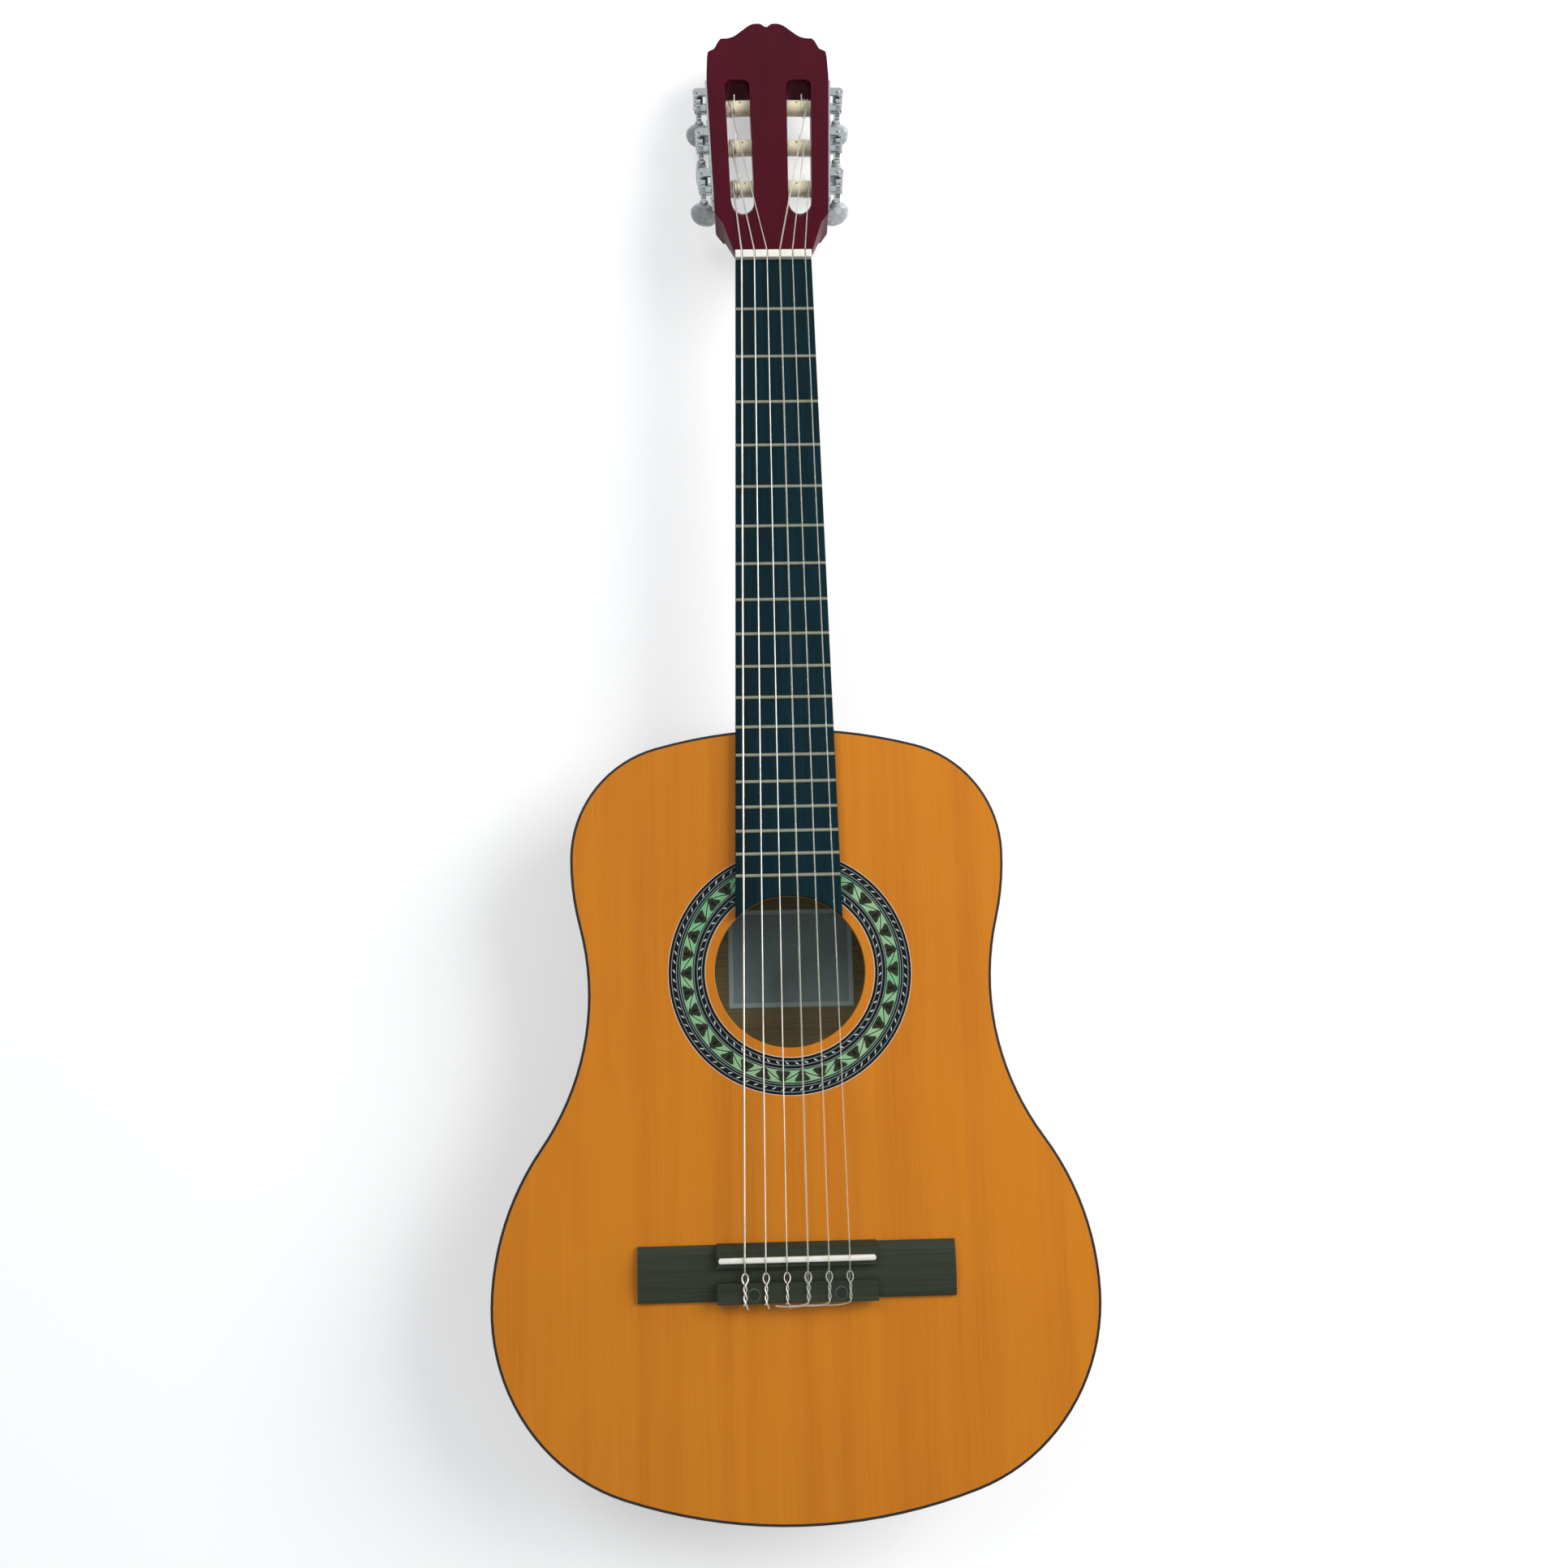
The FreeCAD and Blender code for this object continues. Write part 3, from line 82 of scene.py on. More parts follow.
class Side(Enum):
    """Bass or treble side of the instrument, seen from the front."""

    BASS = -1
    TREBLE = 1


def tint(red: int, green: int, blue: int) -> Colour:
    """Linear colour of full opacity from display values between 0 and 255."""
    def linear(value: int) -> float:
        """Linear light of one display value."""
        share = value / 255
        return share / 12.92 if share <= 0.04045 else ((share + 0.055) / 1.055) ** 2.4

    return linear(red), linear(green), linear(blue), 1.0


def grey(level: float) -> Colour:
    """Grey of a linear brightness between 0 and 1."""
    return level, level, level, 1.0


class Value:
    """A number carried by a shader socket, which takes part in Python expressions.

    fraction is the part after the decimal point, never negative. below gives 1 under a limit,
    near gives 1 within a reach of a centre, and both give 0 elsewhere.
    """

    def __init__(self, shader: "NodeMaker", socket: bpy.types.NodeSocket) -> None:
        """Keeps the socket and the shader that it belongs to."""
        self.shader = shader
        self.socket = socket

    def combine(self, operation: str, *others: Any) -> "Value":
        """A Math node on this value and others.

        Args:
            operation: Name of the Math node's operation.
            *others: Numbers or values for its other inputs.

        Returns:
            The result.
        """
        return self.shader.node("Math", {"operation": operation}, dict(enumerate([self, *others])))

    __add__ = __radd__ = partialmethod(combine, "ADD")
    __mul__ = __rmul__ = partialmethod(combine, "MULTIPLY")
    __sub__ = partialmethod(combine, "SUBTRACT")
    __truediv__ = partialmethod(combine, "DIVIDE")
    __abs__ = partialmethod(combine, "ABSOLUTE")
    fraction = partialmethod(combine, "FLOORED_MODULO", 1.0)
    below = partialmethod(combine, "LESS_THAN")
    near = partialmethod(combine, "COMPARE")
    at_most = partialmethod(combine, "MINIMUM")
    at_least = partialmethod(combine, "MAXIMUM")

    def __rsub__(self, other: Any) -> "Value":
        """A number less this value."""
        return (self * -1.0) + other

    def hypot(self, other: "Value") -> "Value":
        """Distance from the origin to the point that this value and another give."""
        return (self * self + other * other).combine("SQRT")

    def fade(self, low: float, high: float) -> "Value":
        """0 below the low limit, 1 above the high one, and a soft step between."""
        return self.shader.node("MapRange", {"interpolation_type": "SMOOTHSTEP"},
                                {"Value": self, "From Min": low, "From Max": high})


class NodeMaker:
    """Adds nodes to one node tree."""

    def __init__(self, tree: bpy.types.NodeTree) -> None:
        """Keeps the tree."""
        self.tree = tree

    def raw(self, kind: str, settings: dict[str, Any], inputs: dict[Any, Any]) -> bpy.types.Node:
        """Adds a node, sets it up and joins its sockets.

        Args:
            kind: The node's type, without its ShaderNode prefix.
            settings: Its properties, which are set first.
            inputs: A number, colour, value or socket for each named or numbered input.

        Returns:
            The node.
        """
        node = self.tree.nodes.new("ShaderNode" + kind)
        for key, setting in settings.items():
            setattr(node, key, setting)
        for key, given in inputs.items():
            self.feed(node.inputs[key], given)
        return node

    def node(self, kind: str, settings: dict[str, Any] | None = None,
             inputs: dict[Any, Any] | None = None, output: Any = 0) -> Value:
        """Adds a node as raw does, and gives the output of a name or number."""
        return Value(self, self.raw(kind, settings or {}, inputs or {}).outputs[output])

    def feed(self, socket: bpy.types.NodeSocket, given: Any) -> None:
        """Joins a value or a socket to an input, or sets the input's own number."""
        if isinstance(given, Value):
            self.tree.links.new(given.socket, socket)
        else:
            socket.default_value = given

    def position(self) -> Value:
        """Place on the piece, in metres."""
        return self.node("TexCoord", output="Object")

    def parts(self, vector: Value) -> tuple[Value, Value, Value]:
        """The three numbers of a vector."""
        node = self.raw("SeparateXYZ", {}, {0: vector})
        return tuple(Value(self, socket) for socket in node.outputs)

    def stretched(self, vector: Value, scale: Sequence[float]) -> Value:
        """A vector with each of its numbers scaled."""
        return self.node("VectorMath", {"operation": "MULTIPLY"}, {0: vector, 1: tuple(scale)})

    def away(self, place: Value, centre: Vector) -> Value:
        """A place as seen from a centre."""
        return self.node("VectorMath", {"operation": "SUBTRACT"}, {0: place, 1: centre})

    def level(self, vector: Value) -> tuple[Value, ...]:
        """The X and Y of a vector in millimetres."""
        return self.parts(self.stretched(vector, (1 / MM, 1 / MM, 0)))[:2]

    def noise(self, vector: Value, scale: float, detail: float = 3.0) -> Value:
        """Cloudy noise between about 0 and 1."""
        return self.node("TexNoise", {}, {"Vector": vector, "Scale": scale, "Detail": detail})

    def blend(self, share: Any, first: Any, second: Any) -> Value:
        """Mixes two colours, by the share of the second."""
        return self.node("Mix", {"data_type": "RGBA"}, {0: share, 6: first, 7: second}, output=2)


class Shader(NodeMaker):
    """Node tree of one material."""

    def __init__(self, name: str) -> None:
        """Makes an empty material with a Principled shader."""
        self.material = bpy.data.materials.new(name)
        self.material.use_nodes = True
        super().__init__(self.material.node_tree)
        self.surface = self.tree.nodes["Principled BSDF"]

    def set(self, inputs: dict[str, Any]) -> None:
        """Sets or joins inputs of the surface."""
        for name, given in inputs.items():
            self.feed(self.surface.inputs[name], given)

    def bump(self, height: Value, depth: float, strength: float) -> None:
        """Raises the surface's relief by a height field of a given depth in metres."""
        self.set({"Normal": self.node("Bump", {}, {
            "Height": height, "Distance": depth, "Strength": strength})})


@dataclass(frozen=True)
class Recipe:
    """Finish with a shader of its own."""

    name: str

    def material(self) -> bpy.types.Material:
        """Builds the finish."""
        shader = Shader(self.name)
        self.draw(shader, shader.position())
        return shader.material

    def draw(self, shader: Shader, place: Value) -> None:
        """Draws the finish at each place on the piece, in metres."""
        raise NotImplementedError(self.name)


@dataclass(frozen=True)
class Wood(Recipe):
    """Straight-grained wood, bare or lacquered.

    The grain is drawn as thin streaks along one axis, over broad soft bands.
    """

    light: Colour
    dark: Colour
    grain: Grain = Grain.ALONG
    streak: float = 1.4 * MM
    contrast: float = 0.6
    roughness: float = 0.4
    coat: float = 0.0
    coat_roughness: float = 0.12
    specular: float = 0.3
    pores: float = 0.02 * MM
    bands: float = 0.35
    mottle: float = 0.35
    stretch: float = 0.012
    band_scale: float = 0.09
    fibre_scale: float = 4.0
    cloud_scale: float = 9.0

    def draw(self, shader: Shader, place: Value) -> None:
        """Draws streaks, bands, clouds and fibres."""
        squeeze = [(self.stretch if axis in self.grain.value else 1.0) / self.streak
                   for axis in range(3)]

        def lines(scale: float, detail: float) -> Value:
            """Noise drawn out along the grain."""
            return shader.noise(shader.stretched(place, [v * scale for v in squeeze]), 1.0, detail)

        streaks = lines(1.0, 4.0)
        broad = lines(self.band_scale, 2.0)
        fibre = lines(self.fibre_scale, 2.0)
        clouds = shader.noise(place, self.cloud_scale)
        share = (streaks.fade(0.38, 0.66) * self.contrast + broad.fade(0.3, 0.75) * self.bands
                 + (clouds - 0.5) * self.mottle).at_most(1.0).at_least(0.0)
        shader.set({"Base Color": shader.blend(share, self.light, self.dark),
                    "Roughness": fibre * 0.12 + (self.roughness - 0.06),
                    "Specular IOR Level": self.specular})
        shader.bump(fibre, self.pores, 0.5)
        if self.coat > 0:
            shader.set({"Coat Weight": clouds * 0.04 + (self.coat - 0.02),
                        "Coat Roughness": self.coat_roughness})


@dataclass(frozen=True)
class Metal(Recipe):
    """Plated or drawn metal with fine wear."""

    colour: Colour
    worn: Colour
    roughness: float = 0.18
    scratch: float = 0.15 * MM
    stretch: float = 6.0
    wear_scale: float = 220.0
    relief: float = 0.002 * MM

    def draw(self, shader: Shader, place: Value) -> None:
        """Draws clouds of wear and the fine lines of drawn metal."""
        wear = shader.noise(place, self.wear_scale, 4.0)
        lines = shader.noise(shader.stretched(place, (1, self.stretch, 1)),
                             1 / self.scratch / self.stretch, 2.0)
        shader.set({"Base Color": shader.blend(wear.fade(0.5, 0.8) * 0.5, self.colour, self.worn),
                    "Metallic": 1.0,
                    "Roughness": wear * 0.1 + (self.roughness - 0.04) + lines * 0.05})
        shader.bump(lines, self.relief, 0.4)


@dataclass(frozen=True)
class Plastic(Recipe):
    """Moulded plastic or bone: plain, clouded or pearly."""

    colour: Colour
    cloud: Colour
    cloud_size: float = 6 * MM
    roughness: float = 0.3
    coat: float = 0.0
    clear: float = 0.0
    solid: float = 1.0
    specular: float = 0.5
    grain_scale: float = 900.0
    relief: float = 0.004 * MM

    def draw(self, shader: Shader, place: Value) -> None:
        """Draws folded clouds and a fine grain."""
        folded = abs(shader.noise(place, 0.8 / self.cloud_size) - 0.5) * 4.0
        grain = shader.noise(place, self.grain_scale, 2.0)
        shader.set({"Base Color": shader.blend(folded.at_most(1.0), self.cloud, self.colour),
                    "Roughness": grain * 0.1 + (self.roughness - 0.05),
                    "Coat Weight": self.coat,
                    "Transmission Weight": self.clear,
                    "Alpha": self.solid,
                    "Specular IOR Level": self.specular})
        shader.bump(grain, self.relief, 0.3)


@dataclass(frozen=True)
class Winding(Recipe):
    """Metal wire wound round a string, seen as fine rings along it, with painted shade in the
    grooves between the rings.
    """

    colour: Colour
    # darker colour, used both for tarnish and as painted shade in the grooves between the rings
    tarnish_and_groove_shade: Colour
    pitch: float = 0.28 * MM
    tarnish_scale: float = 60.0
    relief: float = 0.03 * MM

    def draw(self, shader: Shader, place: Value) -> None:
        """Draws the rings with painted shade in their grooves, and patches of tarnish."""
        along = shader.parts(place)[1]
        ring = (abs((along / self.pitch).fraction() - 0.5) * 2.0).fade(0.0, 1.0)
        tarnish = shader.noise(place, self.tarnish_scale)
        base = shader.blend(tarnish.fade(0.4, 0.8) * 0.5, self.colour, self.tarnish_and_groove_shade)
        # painted shade: the grooves between the rings are darkened towards the darker colour
        shader.set({"Base Color": shader.blend(ring * 0.45, base, self.tarnish_and_groove_shade),
                    "Metallic": 0.9,
                    "Roughness": tarnish * 0.15 + 0.25})
        shader.bump(1.0 - ring, self.relief, 0.6)


@dataclass(frozen=True)
class Track:
    """Row of slanting pale dashes on black, between two thin lines of an inlay."""

    middle: float
    half_width: float
    dash_count: int
    slant: float
    dash_share: float
    point: float

    def dashes(self, radius: Value, turn: Value) -> Value:
        """Mask of the dashes."""
        off = (radius - self.middle) / self.half_width
        phase = (turn * self.dash_count + off * (self.slant / 2)).fraction()
        width = (1.0 - abs(off) * self.point) * (self.dash_share / 2)
        return abs(phase - 0.5).below(width) * radius.near(self.middle, self.half_width)


@dataclass(frozen=True)
class Inlay(Recipe):
    """Inlay of the rosette: thin lines, dashed tracks and a green mosaic of leaves on a vine.

    Radii and widths are in millimetres. Within the mosaic, heights are shares of the band's
    width, and widths are shares of a cell.
    """

    name: str = "rosette_mosaic"
    black: Colour = tint(10, 15, 17)
    line: Colour = tint(120, 132, 132)
    edge: Colour = tint(214, 190, 172)
    dash: Colour = tint(206, 210, 208)
    green: Colour = tint(112, 178, 126)
    pale_green: Colour = tint(158, 190, 142)
    leaf: Colour = tint(44, 46, 37)
    vein: Colour = tint(20, 18, 15)
    dot: Colour = tint(178, 200, 168)
    edges: tuple[float, ...] = (68.85, 47.95)
    lines: tuple[float, ...] = (67.0, 64.1, 62.7, 54.3, 52.4, 49.9)
    line_half: float = 0.23
    edge_half: float = 0.25
    band: tuple[float, float] = (55.05, 61.8)
    tracks: tuple[Track, ...] = (Track(65.5, 0.68, 79, -0.34, 0.19, 0.35),
                                 Track(51.2, 0.8, 60, 0.34, 0.24, 0.9))
    cells: int = 34
    rows: int = 17
    columns: float = 28.0
    weave: float = 0.42
    vein_half: float = 0.05
    vine_half: float = 0.045
    dots_per_cell: float = 22.0
    dots_beside: tuple[float, float] = (0.13, 0.035)

    def draw(self, shader: Shader, place: Value) -> None:
        """Draws the inlay in rings and angles about the soundhole's axis."""
        away = shader.away(place, SOUNDHOLE)
        x, y = shader.level(away)
        radius = x.hypot(y)
        turn = x.combine("ARCTAN2", y) / (2 * math.pi)
        inner, outer = self.band
        colour = shader.blend(radius.near((inner + outer) / 2, (outer - inner) / 2), self.black,
                              self.mosaic(shader, radius, turn))
        for track in self.tracks:
            colour = shader.blend(track.dashes(radius, turn), colour, self.dash)
        for rings, half, paint in ((self.lines, self.line_half, self.line),
                                   (self.edges, self.edge_half, self.edge)):
            for ring in rings:
                colour = shader.blend(radius.near(ring, half), colour, paint)
        shader.set({"Base Color": colour,
                    "Roughness": shader.noise(away, 300.0, 2.0) * 0.1 + 0.35,
                    "Specular IOR Level": 0.05,
                    "Coat Weight": 0.06,
                    "Coat Roughness": 0.1})

    def mosaic(self, shader: Shader, radius: Value, turn: Value) -> Value:
        """Colour of the green band.

        Args:
            shader: Shader that takes the nodes.
            radius: Distance from the axis, in millimetres.
            turn: Angle about the axis as a share of a full turn.

        Returns:
            The colour.
        """
        inner, outer = self.band
        cell = turn * self.cells
        phase = cell.fraction()
        odd = (cell * 0.5).fraction().below(0.5)
        height = (radius - inner) / (outer - inner)
        stepped = (height * self.rows).combine("FLOOR") / self.rows + 0.5 / self.rows
        rise = stepped * (1.0 - odd) + (1.0 - stepped) * odd
        column = (abs(phase - 0.5) * self.columns).combine("FLOOR") / self.columns
        leaf_edge = (0.46 - rise * 0.42).at_most(rise * 1.3 + 0.18)
        leaf = column.below(leaf_edge) * rise.near(0.49, 0.44)
        vein = column.below(self.vein_half) * rise.near(0.4, 0.25)
        swing = abs((cell * 0.5 + 0.25).fraction() - 0.5) * 2.0
        off_vine = abs((height + stepped) / 2 - (swing * 0.9 + 0.05))
        dots = (off_vine.near(*self.dots_beside) * (1.0 - leaf) * rise.near(0.6, 0.3)
                * (phase * self.dots_per_cell).fraction().below(0.5))
        threads = (turn * (2 * math.pi * inner / self.weave)).fraction().below(0.3)
        shade = shader.node("TexWhiteNoise", {"noise_dimensions": "1D"},
                            {"W": (cell * 0.5 + 0.1).combine("FLOOR")})
        colour = shader.blend(shade * 0.8, self.green, self.pale_green)
        for share, paint in ((threads * 0.3, self.leaf), (leaf, self.leaf), (vein, self.vein),
                             (dots * 0.8, self.dot), (off_vine.below(self.vine_half), self.vein)):
            colour = shader.blend(share, colour, paint)
        return colour


@dataclass(frozen=True)
class PlugCap(Recipe):
    """Dark polished disc with a thin paler ring, as on the plugs of the tie block."""

    name: str = "plug_cap"
    face: Colour = tint(40, 46, 38)
    ring: Colour = tint(104, 112, 104)
    ring_radius: float = 3.2
    ring_half: float = 0.17

    def draw(self, shader: Shader, place: Value) -> None:
        """Draws the ring round the axes of the two plugs."""
        colour: Any = self.face
        for bolt in BOLTS:
            x, y = shader.level(shader.away(place, SOUNDBOARD @ bolt))
            ring = x.hypot(y).near(self.ring_radius, self.ring_half)
            colour = shader.blend(ring, colour, self.ring)
        shader.set({"Base Color": colour,
                    "Roughness": shader.noise(place, 500.0, 2.0) * 0.1 + 0.25,
                    "Specular IOR Level": 0.1})


@dataclass(frozen=True)
class Paper(Recipe):
    """Bare paper of the label, with a paler line that runs round it inside its edge."""

    name: str = "bare_label_paper"
    sheet: Colour = tint(164, 184, 184)
    aged: Colour = tint(154, 172, 170)
    border: Colour = tint(204, 220, 214)
    centre: Vector = SOUNDBOARD @ Vector((3 * MM, 166.2 * MM, -83 * MM))
    half_size: tuple[float, float] = (39.0, 30.5)
    border_inset: float = 1.8
    border_half: float = 1.3
    relief: float = 0.01 * MM

    def draw(self, shader: Shader, place: Value) -> None:
        """Draws the border line, stains and fibres about the label's middle."""
        x, y = shader.level(shader.away(place, self.centre))
        inset = (self.half_size[0] - abs(x)).at_most(self.half_size[1] - abs(y))
        fibre = shader.noise(place, 400.0)
        stain = shader.noise(place, 25.0, 2.0)
        colour = shader.blend(stain.fade(0.35, 0.7), self.sheet, self.aged)
        line = inset.near(self.border_inset, self.border_half)
        shader.set({"Base Color": shader.blend(line, colour, self.border),
                    "Roughness": fibre * 0.15 + 0.7})
        shader.bump(fibre, self.relief, 0.5)


class Finish(Enum):
    """All finishes of the instrument: the record's slot, and the kind where it has two."""

    SOUNDBOARD = "soundboard"
    BODY = "body_wood"
    SIDES = "body_wood/sides"
    EDGING = "edging"
    INNER = "inner_wood"
    INLAY = "inlay"
    PAPER = "paper"
    NECK = "neck_wood"
    BOARD = "board_wood"
    FRET = "fret_wire"
    BONE = "bone"
    BRIDGE = "bridge_wood"
    CAP = "bolt_cap"
    HARDWARE = "hardware"
    ROLLER = "roller_sleeve"
    BUTTON = "button_pearl"
    WOUND = "wound_string"
    PLAIN = "plain_string"

    @property
    def slot(self) -> str:
        """Name of the record's material slot."""
        return self.value.split("/")[0]


RECIPES: dict[Finish, Recipe] = {
    Finish.SOUNDBOARD: Wood("amber_spruce", tint(202, 122, 18), tint(176, 96, 8),
                            streak=0.9 * MM, contrast=0.17, roughness=0.45, coat=0.2,
                            specular=0.1, coat_roughness=0.1, pores=0.006 * MM, bands=0.3,
                            mottle=0.7),
    Finish.BODY: Wood("red_brown_veneer", tint(118, 60, 34), tint(68, 32, 18), streak=1.3 * MM,
                      contrast=0.65, roughness=0.35, coat=0.35),
    Finish.SIDES: Wood("red_brown_side_veneer", tint(118, 58, 32), tint(68, 31, 18),
                       grain=Grain.ROUND_THE_SIDES, streak=1.5 * MM, contrast=0.75,
                       roughness=0.35, coat=0.35),
    Finish.EDGING: Plastic("black_edging", tint(16, 16, 17), tint(24, 23, 22), specular=0.3),
    Finish.INNER: Wood("bare_inner_wood", tint(158, 142, 100), tint(122, 108, 74),
                       grain=Grain.ACROSS, contrast=0.5, roughness=0.75),
    Finish.INLAY: Inlay(),
    Finish.PAPER: Paper(),
    Finish.NECK: Wood("burgundy_lacquer", tint(72, 6, 26), tint(56, 4, 19), streak=1.3 * MM,
                      contrast=0.25, roughness=0.35, coat=0.1, specular=0.03,
                      coat_roughness=0.06, pores=0.01 * MM, mottle=0.4),
    Finish.BOARD: Wood("dark_board", tint(14, 41, 48), tint(7, 27, 33), streak=0.5 * MM,
                       roughness=0.5, specular=0.04, pores=0.03 * MM),
    Finish.FRET: Metal("fret_wire", tint(133, 134, 118), tint(94, 92, 78), roughness=0.34),
    Finish.BONE: Plastic("white_bone", tint(236, 236, 231), tint(224, 222, 211),
                         roughness=0.35, specular=0.3),
    Finish.BRIDGE: Wood("dark_bridge", tint(52, 58, 46), tint(28, 33, 25), grain=Grain.ACROSS,
                        streak=0.6 * MM, contrast=0.4, roughness=0.5, specular=0.12),
    Finish.CAP: PlugCap(),
    Finish.HARDWARE: Metal("chrome_plate", tint(172, 178, 180), tint(112, 118, 120),
                           roughness=0.16),
    Finish.ROLLER: Plastic("ivory_sleeve", tint(236, 234, 214), tint(222, 210, 176),
                           cloud_size=3 * MM, roughness=0.35, specular=0.35),
    Finish.BUTTON: Plastic("pearl_button", tint(214, 216, 214), tint(160, 168, 170),
                           cloud_size=4.5 * MM, roughness=0.22, coat=0.3, clear=0.12),
    # the second colour is tarnish and painted shade in the grooves of the winding
    Finish.WOUND: Winding("silver_winding", tint(214, 212, 202), tint(116, 110, 98)),
    Finish.PLAIN: Plastic("clear_nylon", tint(234, 232, 216), tint(222, 220, 204),
                          cloud_size=30 * MM, roughness=0.2, clear=0.5, solid=0.5),
}


def baked(name: str, mesh: bmesh.types.BMesh) -> bpy.types.Mesh:
    """Turns a bmesh into mesh data, and frees it."""
    data = bpy.data.meshes.new(name)
    mesh.to_mesh(data)
    mesh.free()
    return data


def placed(name: str, data: bpy.types.ID) -> bpy.types.Object:
    """Makes an object of some data and links it to the scene."""
    item = bpy.data.objects.new(name, data)
    bpy.context.scene.collection.objects.link(item)
    return item


class Workshop:
    """Shared tools: materials made once, meshes made into pieces, CAD nodes dressed."""

    weld: float = 0.002 * MM
    flat_angle: float = 0.6

    def __init__(self) -> None:
        """Builds every finish."""
        self.materials = {finish: recipe.material() for finish, recipe in RECIPES.items()}

    def dress(self, node: str, finish: Finish) -> None:
        """Gives a CAD node a finish in place of its plain one."""
        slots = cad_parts[node].data.materials
        slots.clear()
        slots.append(self.materials[finish])

    def piece(self, name: str, mesh: bmesh.types.BMesh, finish: Finish, body: str,
              replaced: Iterable[str], crease: float) -> bpy.types.Object:
        """Turns a finished bmesh, which is in place, into a named piece."""
        return self.adopt(name, baked(name, mesh), finish, body, replaced, crease)

    def adopt(self, name: str, data: bpy.types.Mesh, finish: Finish, body: str,
              replaced: Iterable[str], crease: float) -> bpy.types.Object:
        """Makes an object of a mesh that is in place, parents it to its body, and hides and
        dresses the CAD nodes that it stands for.

        Args:
            name: Name of the piece.
            data: Its mesh.
            finish: Its finish.
            body: CAD body that carries it.
            replaced: CAD nodes that it stands for.
            crease: Angle in degrees above which an edge looks sharp.

        Returns:
            The object.
        """
        data.shade_smooth()
        data.set_sharp_from_angle(angle=math.radians(crease))
        if data.materials:
            data.materials.clear()
        data.materials.append(self.materials[finish])
        item = placed(name, data)
        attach(item, body)
        for node in replaced:
            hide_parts(node)
            self.dress(node, finish)
        LOG.info("%s: %d faces on %s", name, len(data.polygons), body)
        return item

    def refine(self, node: str, finish: Finish, edge: float, body: str = FIXED,
               steps: int = 3, fold: float = 60.0, crease: float = 34.0,
               chosen: Callable[[bmesh.types.BMEdge], bool] | None = None,
               bare: Callable[[bmesh.types.BMFace], bool] | None = None) -> bpy.types.Object:
        """Replaces a CAD node by its own shape with softened edges.

        Args:
            node: The CAD node.
            finish: Finish of the piece.
            edge: Width of the softened edges.
            body: CAD body that carries it.
            steps: Number of strips across an edge.
            fold: Angle in degrees above which an edge is softened.
            crease: Angle in degrees above which an edge looks sharp.
            chosen: Test that picks the edges to soften, for only some of them.
            bare: Test that picks the faces left as bare wood inside the body.

        Returns:
            The object.
        """
        mesh = bmesh.new()
        mesh.from_mesh(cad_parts[node].data)
        bmesh.ops.remove_doubles(mesh, verts=mesh.verts, dist=self.weld)
        bmesh.ops.dissolve_limit(mesh, angle_limit=math.radians(self.flat_angle),
                                 verts=mesh.verts, edges=mesh.edges)
        if edge > 0:
            folds = [line for line in mesh.edges if len(line.link_faces) == 2
                     and line.calc_face_angle(0.0) > math.radians(fold)
                     and (chosen is None or chosen(line))]
            bmesh.ops.bevel(mesh, geom=folds, offset=edge, offset_type="OFFSET", segments=steps,
                            profile=0.5, affect="EDGES", clamp_overlap=True, material=-1)
        if bare is not None:
            for face in mesh.faces:
                face.material_index = int(bare(face))
        item = self.piece(node + "_refined", mesh, finish, body, (node,), crease)
        item.modifiers.new("flat_faces", "WEIGHTED_NORMAL").keep_sharp = True
        if bare is not None:
            item.data.materials.append(self.materials[Finish.INNER])
        return item


def lathe(mesh: bmesh.types.BMesh, profile: Profile, steps: int = 32) -> None:
    """Adds a turned solid about Z to a mesh.

    Args:
        mesh: Mesh that takes it.
        profile: Radius and height in millimetres of each point, from axis to axis.
        steps: Number of strips round it.
    """
    verts = [mesh.verts.new((radius * MM, 0, height * MM)) for radius, height in profile]
    edges = [mesh.edges.new(pair) for pair in zip(verts, verts[1:])]
    bmesh.ops.spin(mesh, geom=verts + edges, axis=(0, 0, 1), cent=(0, 0, 0), steps=steps,
                   angle=2 * math.pi, use_merge=True)
    bmesh.ops.remove_doubles(mesh, verts=mesh.verts, dist=0.0005 * MM)
    bmesh.ops.recalc_face_normals(mesh, faces=mesh.faces)


def bored(block: bpy.types.Mesh, tool: bpy.types.Mesh) -> bpy.types.Mesh:
    """Cuts one mesh out of another, frees both, and gives the bored mesh."""
    work, cutter = placed("workpiece", block), placed("cutter", tool)
    cut = work.modifiers.new("cut", "BOOLEAN")
    cut.operation, cut.solver, cut.object = "DIFFERENCE", "EXACT", cutter
    graph = bpy.context.evaluated_depsgraph_get()
    data = bpy.data.meshes.new_from_object(work.evaluated_get(graph))
    for item in (work, cutter):
        bpy.data.objects.remove(item)
    for used in (block, tool):
        bpy.data.meshes.remove(used)
    return data


def merge(whole: bmesh.types.BMesh, part: bmesh.types.BMesh) -> None:
    """Moves one mesh into another, and frees it."""
    copy = baked("part", part)
    whole.from_mesh(copy)
    bpy.data.meshes.remove(copy)


